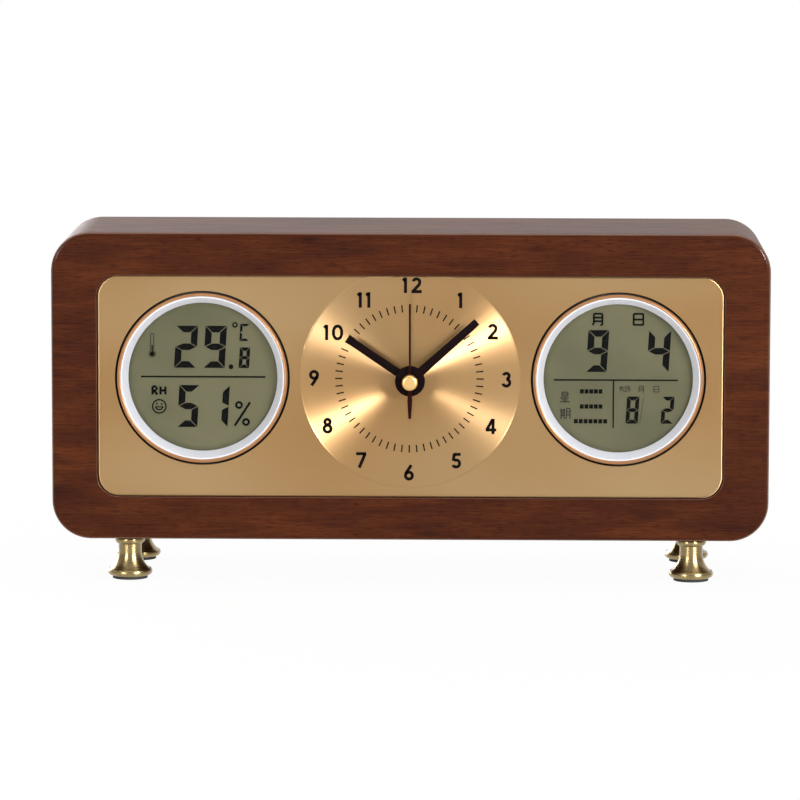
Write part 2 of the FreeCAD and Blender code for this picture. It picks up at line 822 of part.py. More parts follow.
def rear_cover(name, buttons, where):
    """Insert's rear cover with the coin cell's cup, bayonet chamber and button holes."""
    cover = new_body(f"{name}_rear_cover", depth=COVER_BACK, **where)
    disc = new_sketch(cover)
    add_circle(disc, "insert_rear_radius")
    pad(disc, "cover_thickness")
    chamber = "(door_radius + lug_reach + coin_gap)"
    cup = new_sketch(cover, offset="cover_thickness")
    add_circle(cup, f"{chamber} + coin_wall", "0", "coin_rise")
    pad(cup, f"insert_depth - {COIN_FRONT} + contact_thickness + coin_wall")
    hole = new_sketch(cover)
    add_circle(hole, "door_radius + door_gap", "0", "coin_rise")
    cut(hole, "cover_thickness", toward_viewer=True)
    room = new_sketch(cover, offset="cover_thickness")
    add_circle(room, chamber, "0", "coin_rise")
    cut(room, f"insert_depth - {COIN_BACK}", toward_viewer=True)
    bore = new_sketch(cover, offset=f"cover_thickness + insert_depth - {COIN_BACK}")
    add_circle(bore, "coin_radius + coin_gap", "0", "coin_rise")
    cut(bore, f"{COIN_BACK} - {COIN_FRONT} + contact_thickness", toward_viewer=True)
    notch = new_sketch(cover)
    reach, half = chamber, "(lug_width / 2 + coin_gap)"
    add_box(notch, f"-{reach}", reach, f"coin_rise - {half}", f"coin_rise + {half}")
    cut(notch, "cover_thickness", toward_viewer=True)
    small = new_sketch(cover)
    for x in buttons:
        add_circle(small, "button_radius + button_gap", f"{x} * button_spacing", "-button_drop")
    for x, y in insert_screw_places():
        add_circle(small, "insert_screw_shank + screw_gap", x, y)
    cut(small, "cover_thickness", toward_viewer=True)
    return cover


def battery_door(name, where):
    """Round bayonet door over the coin cell, with a coin slot and two lugs."""
    turn = FreeCAD.Rotation(TOWARD_VIEWER, -value("unlock_angle"))
    where = dict(where, height=f"{DIAL_CENTRE} + coin_rise", rotation=FACING * turn)
    door = new_body(f"{name}_battery_door", depth=COVER_BACK, **where)
    disc = new_sketch(door)
    add_circle(disc, "door_radius")
    pad(disc, "door_thickness")
    low, high = f"({COVER_BACK} - {LUG_BACK})", f"({COVER_BACK} - {LUG_FRONT})"
    skirt_outer = "(coin_radius - coin_gap)"
    skirt = new_sketch(door, offset="door_thickness")
    add_circle(skirt, skirt_outer)
    add_circle(skirt, f"{skirt_outer} - coin_wall")
    pad(skirt, f"{high} - door_thickness")
    for side in (-1, 1):
        lug = new_sketch(door, offset=low)
        ends = [f"{side} * ({skirt_outer} - coin_wall / 2)", f"{side} * (door_radius + lug_reach)"]
        add_box(lug, *ends[::side], "-lug_width / 2", "lug_width / 2")
        pad(lug, "lug_thickness")
    slot = new_sketch(door)
    reach = "(door_radius - 2 * door_slot)"
    add_box(slot, f"-{reach}", reach, "-door_slot / 2", "door_slot / 2")
    cut(slot, "door_slot / 2", toward_viewer=True)
    return door


def push_buttons(name, buttons, where):
    """Buttons that reach from the rear cover to the switches on the board."""
    made = []
    inside = "(cover_thickness + button_gap)"
    stem = "(button_radius - button_collar)"
    length = f"({COVER_BACK} - {BOARD_BACK} - switch_height - button_travel - button_gap)"
    for x, kind in buttons.items():
        spot = dict(where, x=f"{where['x']} + ({x} * button_spacing)")
        spot["height"] = f"{DIAL_CENTRE} - button_drop"
        crown = "(button_proud - button_gap)"
        made.append(
            turned(
                f"{name}_{kind}_button",
                [
                    ("0", "-button_proud"),
                    ("button_radius - button_gap", "-button_proud"),
                    ("button_radius", f"-{crown}"),
                    ("button_radius", inside),
                    ("button_radius + button_collar", inside),
                    ("button_radius + button_collar", f"{inside} + button_collar"),
                    (stem, f"{inside} + button_collar"),
                    (stem, length),
                    ("0", length),
                ],
                depth=COVER_BACK,
                **spot,
            )
        )
    return made


def insert_power(name, where):
    """Coin cell and the spring contact under it."""
    where = dict(where, height=f"{DIAL_CENTRE} + coin_rise")
    step = "contact_thickness"
    coin = turned(
        f"{name}_coin_cell",
        [
            ("0", f"-{COIN_BACK}"),
            ("coin_radius", f"-{COIN_BACK}"),
            ("coin_radius", f"-{COIN_FRONT} - 2 * {step}"),
            (f"coin_radius - 3 * {step}", f"-{COIN_FRONT}"),
            ("0", f"-{COIN_FRONT}"),
        ],
        **where,
    )
    contact = new_body(f"{name}_battery_contact", **where)
    strip = new_sketch(contact, offset=f"-{COIN_FRONT}")
    half = "contact_width / 2"
    add_box(strip, "-coin_radius + coin_gap", "coin_radius - coin_gap", f"-{half}", half)
    pad(strip, "contact_thickness")
    return [coin, contact]


def inserts():
    """Both display inserts: climate on the left, calendar on the right."""
    made = []
    kinds = {
        "climate": ("left", {0: "unit"}),
        "calendar": ("right", {-1: "down", 0: "set", 1: "up"}),
    }
    for name, (side, buttons) in kinds.items():
        where = {"x": f"{DIRECTIONS[side]} * insert_spread"}
        made += insert_front(name, where)
        made += insert_inside(name, buttons, where)
        made.append(rear_cover(name, buttons, where))
        made.append(battery_door(name, where))
        made += push_buttons(name, buttons, where)
        made += insert_power(name, where)
    return made


def insert_screws():
    """Four cover screws for each insert."""
    sizes = ("insert_screw_head", "insert_screw_head_height", "insert_screw_shank")
    shape = screw_shape(*sizes, "insert_screw_length")
    places = []
    for side in DIRECTIONS.values():
        for x, y in insert_screw_places():
            places.append((f"{side} * insert_spread + {x}", y, "0"))
    return group("insert_screws", shape, places, depth=COVER_BACK)


def tooth_outline(teeth, pitch_radius, phase, form):
    """Flat face with straight-flanked teeth, one of them at the phase angle."""
    addendum, dedendum, half_tip, half_root = form
    teeth = round(teeth)
    module = 2 * pitch_radius / teeth
    tip, root = pitch_radius + addendum * module, pitch_radius - dedendum * module
    pitch = 2 * math.pi / teeth
    tooth = ((root, -half_root), (tip, -half_tip), (tip, half_tip), (root, half_root))
    points = []
    for number in range(teeth):
        for radius, share in tooth:
            angle = phase + (number + share) * pitch
            points.append(FreeCAD.Vector(radius * math.cos(angle), radius * math.sin(angle), 0))
    return Part.Face(Part.makePolygon(points + points[:1]))


def wheel(teeth, pitch_radius, phase, front, thickness, form=WHEEL_FORM):
    """Toothed disc from a depth behind the movement's front, going back."""
    disc = tooth_outline(teeth, pitch_radius, phase, form).extrude(-TOWARD_VIEWER * thickness)
    disc.translate(-TOWARD_VIEWER * front)
    return disc


def rod(radius, front, back, inner=0.0):
    """Round bar or pipe between two depths behind the movement's front."""
    start = -TOWARD_VIEWER * back
    bar = Part.makeCylinder(radius, back - front, start)
    if inner:
        bar = bar.cut(Part.makeCylinder(inner, back - front, start))
    return bar


def joined(solids, bore=0.0, front=0.0, back=0.0):
    """One solid from overlapping ones, bored along its axis."""
    shape = solids[0].multiFuse(solids[1:])
    if bore:
        shape = shape.cut(rod(bore, front, back))
    return shape.removeSplitter()


def mesh_phase(teeth, phase, direction, partner_teeth):
    """Phase of a partner in the given direction whose gap meets a tooth of the first wheel."""
    passed = (direction - phase) * teeth / (2 * math.pi)
    return direction + math.pi - (0.5 - passed) * 2 * math.pi / partner_teeth


def train_depths():
    """Depths behind the movement's front that the train is stacked at."""
    clear = value("train_clearance")
    thick, pinion = value("wheel_thickness"), value("pinion_length")
    depths = {"hour": value("movement_floor") + clear}
    depths["cannon"] = depths["hour"] + thick + clear
    depths["reverse"] = depths["cannon"] + (pinion - thick) / 2
    depths["centre"] = depths["cannon"] + pinion + clear
    depths["plate"] = depths["centre"] + thick + clear
    depths["third"] = depths["plate"] + value("plate_thickness") + clear
    depths["second"] = depths["third"] + thick + 2 * clear
    depths["intermediate"] = depths["second"] + thick + 2 * clear
    depths["cover"] = value("train_height")
    return depths


def meshed(first, second, first_phase=0.0):
    """Pitch radii of two meshed wheels, and the second one's phase from the first one's."""
    distance, angle, turn = MESHES[first, second]
    share = TEETH[first] / (TEETH[first] + TEETH[second])
    radius = value(distance) * share
    direction = math.radians(value(angle) + turn)
    phase = mesh_phase(TEETH[first], first_phase, direction, TEETH[second])
    return radius, value(distance) - radius, phase


def train_piece(label, shape, axis):
    """Feature on one axis of the train."""
    across, upright = axis_texts(axis)
    where = {"x": across, "depth": WEB_BACK, "height": f"{DIAL_CENTRE} + {upright}"}
    return fixed_shape(label, shape, **where)


def stator_front():
    """Depth of the stator's front face behind the movement's front."""
    return train_depths()["third"] + value("train_clearance / 2")


def ahead_of_panel(distance):
    """Depth of a plane ahead of the gold panel, measured like the train's."""
    return -value(f"{WEB_BACK} - panel_recess + {distance}")


def pivot_end():
    """Depth that the rear pivots reach in the movement's cover."""
    return train_depths()["cover"] + value("train_cover / 2")


def centre_wheel():
    """Wheel that turns once an hour, with the tube that carries the cannon pinion."""
    depths, thick = train_depths(), value("wheel_thickness")
    radius = meshed("centre", "third_pinion")[0]
    parts = [
        wheel(TEETH["centre"], radius, 0.0, depths["centre"], thick),
        rod(value("centre_tube"), depths["cannon"], depths["centre"] + thick),
    ]
    bored = joined(parts, value("arbor_radius + arbor_gap"), depths["cannon"], depths["plate"])
    return train_piece("centre_wheel", bored, "centre")


def third_wheel():
    """Wheel and pinion between the seconds arbor and the centre wheel."""
    depths, half = train_depths(), value("train_clearance / 2")
    radius = meshed("third", "second_pinion")[0]
    _, small, phase = meshed("centre", "third_pinion")
    front, back = depths["centre"] - half, depths["plate"] - half
    parts = [
        wheel(TEETH["third"], radius, 0.0, depths["third"], value("wheel_thickness")),
        wheel(TEETH["third_pinion"], small, phase, front, back - front, PINION_FORM),
        rod(value("arbor_radius"), value("movement_floor / 2"), pivot_end()),
    ]
    return train_piece("third_wheel", joined(parts), "third")


def second_wheel():
    """Wheel and pinion on the long arbor that carries the second hand."""
    depths = train_depths()
    radius = meshed("second", "intermediate_pinion")[0]
    _, small, phase = meshed("third", "second_pinion")
    front = depths["third"] - value("train_clearance / 2")
    length = depths["second"] - front
    parts = [
        wheel(TEETH["second"], radius, 0.0, depths["second"], value("wheel_thickness")),
        wheel(TEETH["second_pinion"], small, phase, front, length, PINION_FORM),
        rod(value("arbor_radius"), ahead_of_panel(SECOND_TIP), pivot_end()),
    ]
    return train_piece("second_wheel", joined(parts), "centre")


def intermediate_wheel():
    """Wheel and pinion between the rotor and the seconds wheel."""
    depths = train_depths()
    radius = meshed("intermediate", "rotor")[0]
    _, small, phase = meshed("second", "intermediate_pinion")
    front = depths["second"] - value("train_clearance / 2")
    length = depths["intermediate"] - front
    parts = [
        wheel(
            TEETH["intermediate"], radius, 0.0, depths["intermediate"], value("wheel_thickness")
        ),
        wheel(TEETH["intermediate_pinion"], small, phase, front, length, PINION_FORM),
        rod(value("arbor_radius"), depths["plate"] + value("plate_thickness / 4"), pivot_end()),
    ]
    return train_piece("intermediate_wheel", joined(parts), "intermediate")


def rotor():
    """Magnet with the pinion that drives the train."""
    depths = train_depths()
    _, small, phase = meshed("intermediate", "rotor")
    front = depths["intermediate"] - value("train_clearance / 2")
    length = value("wheel_thickness + train_clearance")
    magnet = stator_front() + value("stator_thickness / 2 - magnet_length / 2")
    parts = [
        wheel(TEETH["rotor"], small, phase, front, length, PINION_FORM),
        rod(value("magnet_radius"), magnet, magnet + value("magnet_length")),
        rod(value("arbor_radius"), depths["plate"] + value("plate_thickness / 4"), pivot_end()),
    ]
    return train_piece("rotor", joined(parts), "rotor")


def cannon_pinion():
    """Pinion with the pipe that carries the minute hand."""
    depths, length = train_depths(), value("pinion_length")
    radius = meshed("cannon", "reverse")[0]
    end = ahead_of_panel("minute_level + hand_thickness + pipe_gap")
    parts = [
        wheel(TEETH["cannon"], radius, 0.0, depths["cannon"], length, PINION_FORM),
        rod(value("cannon_radius"), end, depths["cannon"] + length),
    ]
    bored = joined(parts, value("centre_tube + pipe_gap"), end, depths["centre"])
    return train_piece("cannon_pinion", bored, "centre")


def reverse_wheel():
    """Wheel and pinion that slow the hour hand, on the base's pin."""
    depths = train_depths()
    _, radius, phase = meshed("cannon", "reverse")
    small = meshed("reverse_pinion", "hour")[0]
    front = depths["hour"] - value("train_clearance / 4")
    parts = [
        wheel(TEETH["reverse"], radius, phase, depths["reverse"], value("wheel_thickness")),
        wheel(
            TEETH["reverse_pinion"], small, 0.0, front, depths["reverse"] - front, PINION_FORM
        ),
    ]
    bored = joined(parts, value("reverse_pin + pipe_gap"), 0.0, depths["centre"])
    return train_piece("reverse_wheel", bored, "reverse")


def hour_wheel():
    """Wheel with the pipe that carries the hour hand."""
    depths, thick = train_depths(), value("wheel_thickness")
    _, radius, phase = meshed("reverse_pinion", "hour")
    end = ahead_of_panel("hour_level + hand_thickness + pipe_gap")
    parts = [
        wheel(TEETH["hour"], radius, phase, depths["hour"], thick),
        rod(value("hour_pipe_radius"), end, depths["hour"] + thick),
    ]
    bored = joined(parts, value("cannon_radius + pipe_gap"), end, depths["cannon"])
    return train_piece("hour_wheel", bored, "centre")


def set_knob():
    """Fluted knob at the back, on the arbor of the pinion that sets the hands."""
    depths, length = train_depths(), value("pinion_length")
    phase = meshed("cannon", "reverse")[2]
    _, small, phase = meshed("reverse", "knob", phase)
    front = value(f"{TRAIN_BACK} + button_gap")
    parts = [
        wheel(TEETH["knob"], small, phase, depths["cannon"], length, PINION_FORM),
        rod(value("arbor_radius"), value("movement_floor / 2"), depths["cannon"]),
        rod(value("knob_stem"), depths["cannon"] + length / 2, front),
        wheel(KNOB_FLUTES, value("knob_radius"), 0.0, front, value("knob_height"), KNOB_FORM),
    ]
    return train_piece("set_knob", joined(parts), "knob")


def movement_base():
    """Moulded shell with the bush, train chamber, battery bay, pin and posts."""
    body = new_body("movement_base", depth=WEB_BACK)
    outline = new_sketch(body)
    add_rounded(outline, "movement_side", "movement_side", "movement_corner")
    pad(outline, "movement_depth", toward_viewer=False)
    bush = new_sketch(body)
    add_circle(bush, "bush_radius")
    pad(bush, f"{WEB_BACK} - panel_recess + bush_proud")
    inner = "(movement_side / 2 - movement_wall)"
    chamber = new_sketch(body, offset="-movement_depth")
    add_box(chamber, f"-{inner}", inner, "-train_floor", inner)
    cut(chamber, "movement_depth - movement_floor", toward_viewer=True)
    bay = new_sketch(body, offset="-movement_depth")
    low, high = "-battery_drop - bay_height / 2", "-battery_drop + bay_height / 2"
    add_box(bay, f"-{inner}", inner, low, high)
    cut(bay, "movement_depth - movement_floor", toward_viewer=True)
    depths = train_depths()
    floor = value("movement_floor")
    post_length = depths["plate"] - floor
    for x, y in post_places():
        post = new_sketch(body, offset="-movement_floor")
        add_circle(post, "post_radius", x, y)
        pad(post, post_length, toward_viewer=False)
    pin = new_sketch(body, offset="-movement_floor")
    add_circle(pin, "reverse_pin", *axis_texts("reverse"))
    pin_length = depths["reverse"] + value("wheel_thickness + train_clearance / 2") - floor
    pad(pin, pin_length, toward_viewer=False)
    bore = new_sketch(body, offset=f"{WEB_BACK} - panel_recess + bush_proud")
    add_circle(bore, "hour_pipe_radius + pipe_gap")
    cut(bore, f"{WEB_BACK} - panel_recess + bush_proud + movement_floor")
    pivots = new_sketch(body, offset="-movement_floor")
    for axis in ("third", "knob"):
        add_circle(pivots, "arbor_radius + arbor_gap", *axis_texts(axis))
    cut(pivots, "movement_floor / 2 + arbor_gap", toward_viewer=True)
    return body


def axis_texts(name):
    """Formulas of a train axis as seen from the front."""
    steps = AXES[name]
    across = " + ".join(f"{distance} * cos({angle})" for distance, angle in steps)
    upright = " + ".join(f"{distance} * sin({angle})" for distance, angle in steps)
    return (across or "0", upright or "0")


def post_places():
    """Formulas of the four posts that carry the train plate."""
    sides = ("-plate_left + 2 * post_radius", "plate_right - 2 * post_radius")
    levels = ("-train_floor + 2 * post_radius", "plate_top - 2 * post_radius")
    return [(x, y) for x in sides for y in levels]


def movement_plates():
    """Train plate on its posts and the cover that closes the train."""
    depths = train_depths()
    plate = new_body("train_plate", depth=WEB_BACK)
    level = depths["plate"] + value("plate_thickness")
    outline = new_sketch(plate, offset=-level)
    add_box(
        outline, "-plate_left", "plate_right", "-train_floor + button_gap", "plate_top"
    )
    pad(outline, "plate_thickness")
    holes = new_sketch(plate, offset=-level)
    for axis in ("centre", "third", "intermediate", "rotor"):
        add_circle(holes, "arbor_radius + arbor_gap", *axis_texts(axis))
    add_circle(holes, "knob_stem + button_gap", *axis_texts("knob"))
    cut(holes)
    cover = new_body("movement_cover", depth=WEB_BACK)
    sheet = new_sketch(cover, offset=f"-{TRAIN_BACK}")
    inner = "(movement_side / 2 - movement_wall - screw_gap)"
    add_box(sheet, f"-{inner}", inner, "-train_floor + screw_gap", inner)
    pad(sheet, "train_cover")
    bearings = new_sketch(cover, offset=f"-{TRAIN_BACK}")
    for axis in ("centre", "third", "intermediate", "rotor"):
        add_circle(bearings, "arbor_radius + arbor_gap", *axis_texts(axis))
    add_circle(bearings, "knob_stem + pipe_gap", *axis_texts("knob"))
    cut(bearings)
    return [plate, cover]


def motor():
    """Stator with its poles round the rotor, and the coil on its left leg."""
    rotor_x, rotor_y = axis_texts("rotor")
    level = stator_front() + value("stator_thickness")
    stator = new_body("stator", depth=WEB_BACK)
    hole = "(magnet_radius + pole_gap)"
    top = "(coil_drop + coil_length + leg_width)"
    half = "leg_width / 2"
    ring = new_sketch(stator, offset=-level)
    add_circle(ring, f"{hole} + pole_width", rotor_x, rotor_y)
    pad(ring, "stator_thickness")
    bars = [
        (f"-coil_left - {half}", f"-coil_left + {half}", f"{rotor_y} - {half}", top),
        (f"-return_leg - {half}", f"-return_leg + {half}", rotor_y, top),
        (f"-coil_left - {half}", f"{rotor_x}", f"{rotor_y} - {half}", f"{rotor_y} + {half}"),
        (f"-coil_left - {half}", f"-return_leg + {half}", f"{top} - leg_width", top),
    ]
    for bar in bars:
        leg = new_sketch(stator, offset=-level)
        add_box(leg, *bar)
        pad(leg, "stator_thickness")
    opening = new_sketch(stator, offset=-level)
    add_circle(opening, hole, rotor_x, rotor_y)
    cut(opening)
    low, high = "coil_drop", "(coil_drop + coil_length)"
    cheek = "leg_width / 3"
    flange = "(coil_radius + plate_thickness / 2)"
    centre_depth = stator_front() + value("stator_thickness") / 2
    coil = turned(
        "coil",
        [
            ("0", low),
            (flange, low),
            (flange, f"{low} + {cheek}"),
            ("coil_radius", f"{low} + {cheek}"),
            ("coil_radius", f"{high} - {cheek}"),
            (flange, f"{high} - {cheek}"),
            (flange, high),
            ("0", high),
        ],
        x="-coil_left",
        depth=f"{WEB_BACK} + {centre_depth}",
        rotation=UPRIGHT,
    )
    core = new_sketch(coil, offset=low)
    wide, deep = f"{half} + screw_gap", "stator_thickness / 2 + screw_gap"
    add_box(core, f"-({wide})", wide, f"-({deep})", deep)
    cut(core)
    return [stator, coil]


def movement_circuit_board():
    """Board on the train plate with its chip and the crystal's can."""
    depths = train_depths()
    back = depths["plate"] + value("plate_thickness")
    board = new_body("movement_circuit_board", depth=WEB_BACK)
    outline = new_sketch(board, offset=-(back + value("wheel_thickness")))
    left, low = "plate_right - circuit_length", "plate_top - circuit_height"
    add_box(outline, left, "plate_right", low, "plate_top")
    pad(outline, "wheel_thickness")
    chip = new_sketch(board, offset=-(back + value("wheel_thickness")))
    middle = (f"{left} + circuit_length / 3", f"{low} + circuit_height / 2")
    add_circle(chip, "2 * crystal_radius", *middle)
    pad(chip, "crystal_radius", toward_viewer=False)
    crystal = new_sketch(board, "XZ_Plane", "-plate_top + crystal_radius")
    lift = -(back + value("wheel_thickness + crystal_radius") - value("arbor_gap"))
    add_circle(crystal, "crystal_radius", f"{left} + 3 * circuit_length / 4", lift)
    pad(crystal, "crystal_length")
    return board


def battery_and_terminals():
    """Round battery in its bay and the contact at each end."""
    depth = f"{WEB_BACK} + movement_floor + battery_radius + button_gap"
    where = {"depth": depth, "height": f"{DIAL_CENTRE} - battery_drop"}
    along_x = FreeCAD.Rotation(FreeCAD.Vector(0, 1, 0), 90)
    half = "battery_length / 2"
    button = "battery_button / 2"
    battery = turned(
        "battery",
        [
            ("0", f"-{half}"),
            ("battery_radius", f"-{half}"),
            ("battery_radius", f"{half} - {button}"),
            ("battery_button", f"{half} - {button}"),
            ("battery_button", half),
            ("0", half),
        ],
        rotation=along_x,
        **where,
    )
    wall = value("movement_side / 2 - movement_wall")
    thickness, width = value("terminal_thickness"), value("terminal_width")
    reach = wall - thickness - value(half) - value("arbor_gap")
    plate = Part.makeBox(width, width, thickness, FreeCAD.Vector(-width / 2, -width / 2, 0))
    bump = Part.makeCone(width / 3, width / 6, reach, FreeCAD.Vector(0, 0, thickness))
    terminal = plate.fuse(bump)
    ends = []
    for side in (-1, 1):
        end = terminal.copy()
        if side > 0:
            end.rotate(FreeCAD.Vector(), FreeCAD.Vector(1, 0, 0), 180)
        end.translate(FreeCAD.Vector(0, 0, side * wall))
        ends.append(end)
    pair = Part.makeCompound(ends)
    return [battery, fixed_shape("battery_terminals", pair, rotation=along_x, **where)]


def dial_nut():
    """Slotted round nut that clamps the movement from the front."""
    nut = tube(
        "dial_nut", "bush_radius + press_gap", "nut_radius", "0", "nut_height", depth="panel_recess"
    )
    slots = new_sketch(nut, offset="nut_height")
    add_box(slots, "-nut_radius", "nut_radius", "-nut_slot / 2", "nut_slot / 2")
    cut(slots, "nut_slot")
    return nut


def bar_hand(label, level, pipe):
    """Bar hand with a round hub, pressed on its pipe by a collet."""
    turn = FreeCAD.Rotation(TOWARD_VIEWER, -value(f"{label}_angle"))
    body = new_body(label, depth="panel_recess", rotation=FACING * turn)
    hub = new_sketch(body, offset=level)
    add_circle(hub, "hub_radius")
    pad(hub, "hand_thickness")
    blade = new_sketch(body, offset=level)
    root, tip, length = f"{label}_width / 2", f"{label}_tip / 2", f"{label}_length"
    add_outline(blade, [(f"-{root}", "0"), (root, "0"), (tip, length), (f"-{tip}", length)])
    pad(blade, "hand_thickness")
    collet = new_sketch(body, offset=f"{level} - collet_length")
    add_circle(collet, f"{pipe} + collet_wall")
    pad(collet, "collet_length")
    bore = new_sketch(body, offset=f"{level} - collet_length")
    add_circle(bore, f"{pipe} + press_gap")
    cut(bore)
    return body


def second_hand():
    """Needle with a leaf-shaped tail, pressed on the seconds arbor."""
    turn = FreeCAD.Rotation(TOWARD_VIEWER, -value("second_hand_angle"))
    body = new_body("second_hand", depth="panel_recess", rotation=FACING * turn)
    half = "second_hand_width / 2"
    neck, wide, end = "second_tail_neck / 2", "second_tail_width / 2", "second_tail_end / 2"
    needle = new_sketch(body, offset="second_level")
    add_outline(
        needle,
        [
            (f"-{half}", "second_hand_length"),
            (f"-{half}", "0"),
            (f"-{neck}", "-second_hub"),
            (f"-{wide}", "-second_tail_widest"),
            (f"-{end}", "-second_tail_length"),
            (end, "-second_tail_length"),
            (wide, "-second_tail_widest"),
            (neck, "-second_hub"),
            (half, "0"),
            (half, "second_hand_length"),
        ],
    )
    pad(needle, "second_hand_thickness")
    hub = new_sketch(body, offset="second_level")
    add_circle(hub, "second_hub")
    pad(hub, "second_hand_thickness")
    collet = new_sketch(body, offset="second_level - collet_length")
    add_circle(collet, "arbor_radius + collet_wall")
    pad(collet, "collet_length")
    bore = new_sketch(body, offset="second_level - collet_length")
    add_circle(bore, "arbor_radius + press_gap")
    cut(bore)
    return body


def hand_cap():
    """Gold cap over the end of the seconds arbor."""
    seat = "(second_level + second_hand_thickness)"
    bore_end = f"({SECOND_TIP} + arbor_gap)"
    return turned(
        "hand_cap",
        [
            ("arbor_radius + press_gap", seat),
            ("cap_radius", seat),
            ("cap_radius", "cap_front - cap_round", "cap_round", 1),
            ("cap_radius - cap_round", "cap_front"),
            ("0", "cap_front"),
            ("0", bore_end),
            ("arbor_radius + press_gap", bore_end),
        ],
        depth="panel_recess",
    )


def check_document(doc):
    """Stop where a feature failed or a size made a shape that isn't whole."""
    doc.recompute()
    for item in doc.Objects:
        if any(state in ("Invalid", "Error") for state in item.State):
            raise RuntimeError(f"{item.Name} is {item.State}")


def write_parts(pieces):
    """Test each sub-part's shape and write its file."""
    for piece in pieces:
        if piece.Shape.isNull() or not piece.Shape.isValid() or not piece.Shape.Solids:
            raise RuntimeError(f"{piece.Label} has no valid solid")
    os.makedirs("parts", exist_ok=True)
    for piece in pieces:
        piece.Shape.exportStep(f"parts/{piece.Label}.step")
        print(piece.Label, len(piece.Shape.Solids), round(piece.Shape.Volume, 2))


def main():
    """Build every sub-part, test it and write its file."""
    doc = FreeCAD.newDocument("desk_clock")
    make_sheet(doc)
    pieces = [case_body(), front_panel(), back_panel(), back_panel_screws()]
    pieces += feet()
    pieces += [foot_pads(), foot_studs()]
    pieces += inserts()
    pieces.append(insert_screws())
    pieces.append(movement_base())
    pieces += movement_plates()
    pieces += [centre_wheel(), third_wheel(), second_wheel(), intermediate_wheel(), rotor()]
    pieces += [cannon_pinion(), reverse_wheel(), hour_wheel(), set_knob()]
    pieces += motor()
    pieces.append(movement_circuit_board())
    pieces += battery_and_terminals()
    pieces.append(dial_nut())
    pieces.append(bar_hand("hour_hand", "hour_level", "hour_pipe_radius"))
    pieces.append(bar_hand("minute_hand", "minute_level", "cannon_radius"))
    pieces += [second_hand(), hand_cap()]
    check_document(doc)
    write_parts(pieces)


main()
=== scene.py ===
"""Desk clock with calendar, dressed for a product view.

A wooden case on turned brass feet holds a gold panel with a spun dial, a climate display on the
left and a calendar display on the right. Lengths are in millimetres, measured from the case's
front face backwards as depths and from the floor upwards as heights, until a piece is set in place.
"""

import logging
import math
from collections.abc import Callable, Iterable
from dataclasses import dataclass, field
from enum import Enum

import bmesh
import bpy
from mathutils import Euler, Matrix, Vector


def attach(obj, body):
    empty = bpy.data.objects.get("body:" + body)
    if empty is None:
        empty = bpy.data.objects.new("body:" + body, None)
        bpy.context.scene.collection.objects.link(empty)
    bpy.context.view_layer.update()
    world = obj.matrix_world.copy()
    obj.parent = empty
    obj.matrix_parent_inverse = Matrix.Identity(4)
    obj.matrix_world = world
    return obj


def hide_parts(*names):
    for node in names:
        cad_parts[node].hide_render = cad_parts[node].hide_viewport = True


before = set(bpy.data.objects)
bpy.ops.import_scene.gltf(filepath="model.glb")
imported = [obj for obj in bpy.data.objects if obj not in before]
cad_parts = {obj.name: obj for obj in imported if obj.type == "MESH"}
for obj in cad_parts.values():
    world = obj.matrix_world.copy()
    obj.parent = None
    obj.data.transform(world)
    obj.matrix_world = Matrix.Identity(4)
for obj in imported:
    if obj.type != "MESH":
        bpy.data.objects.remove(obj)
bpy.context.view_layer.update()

LOG = logging.getLogger("desk_clock")

MM = 0.001
FRONT_FACE = -25.2
FLOOR_TO_CASE = 15.0
CASE_CENTRE = 68.8
DIAL_CENTRE = 71.7
INSERT_SPREAD = 72.4
FOOT_SPREAD = 98.5
FOOT_DEPTHS = {"front": 9.5, "rear": 53.5}

# Degrees: edges of new pieces and of nodes that stay sharp, and faces of a node that become one.
CREASE = 32.0
NODE_CREASE = 30.0
LEVEL_ANGLE = 0.2

# Millimetres: corners of a new piece, and of a profile or a node, that become one.
FINE_GAP = 0.0005
WELD = 0.001

Point = tuple[float, float]
Triple = tuple[float, float, float]
Quad = tuple[float, float, float, float]
Node = bpy.types.Node
Socket = bpy.types.NodeSocket
Tree = bpy.types.NodeTree
Value = Socket | float | tuple[float, ...]
Piece = bpy.types.Object


def srgb(text: str, alpha: float = 1.0) -> Quad:
    """Turn a hex colour into a linear one.

    Args:
        text: six hex digits, as in "B28E5E".
        alpha: opacity of the colour.

    Returns:
        Linear red, green, blue and alpha.
    """
    channels = [int(text[start : start + 2], 16) / 255 for start in (0, 2, 4)]
    linear = [c / 12.92 if c <= 0.04045 else ((c + 0.055) / 1.055) ** 2.4 for c in channels]
    return (*linear, alpha)


def add_node(tree: Tree, kind: str, inputs: dict | None = None, **settings: object) -> Node:
    """Add a node with its settings, values and links.

    Args:
        tree: node tree that gets the node.
        kind: node type, without the ShaderNode that they all start with.
        inputs: value or source socket for each named or numbered input.
        settings: properties of the node itself.

    Returns:
        The new node.
    """
    node = tree.nodes.new(f"ShaderNode{kind}")
    for key, setting in settings.items():
        setattr(node, key, setting)
    for key, source in (inputs or {}).items():
        if isinstance(source, bpy.types.NodeSocket):
            tree.links.new(source, node.inputs[key])
        else:
            node.inputs[key].default_value = source
    return node


def sized(tree: Tree, place: Socket, size: Triple, centre: Triple = (0, 0, 0)) -> Socket:
    """Scale object coordinates so that one unit is the given size in millimetres on each axis."""
    scale = [1 / (length * MM) for length in size]
    shift = [-middle * MM * factor for middle, factor in zip(centre, scale)]
    mapping = {"Vector": place, "Scale": scale, "Location": shift}
    return add_node(tree, "Mapping", mapping).outputs["Vector"]


def noise(tree: Tree, vector: Socket, detail: float = 3.0, distortion: float = 0.0) -> Socket:
    """Noise with features of about one unit of its vector."""
    inputs = {"Vector": vector, "Scale": 1.0, "Detail": detail, "Distortion": distortion}
    return add_node(tree, "TexNoise", inputs).outputs["Fac"]


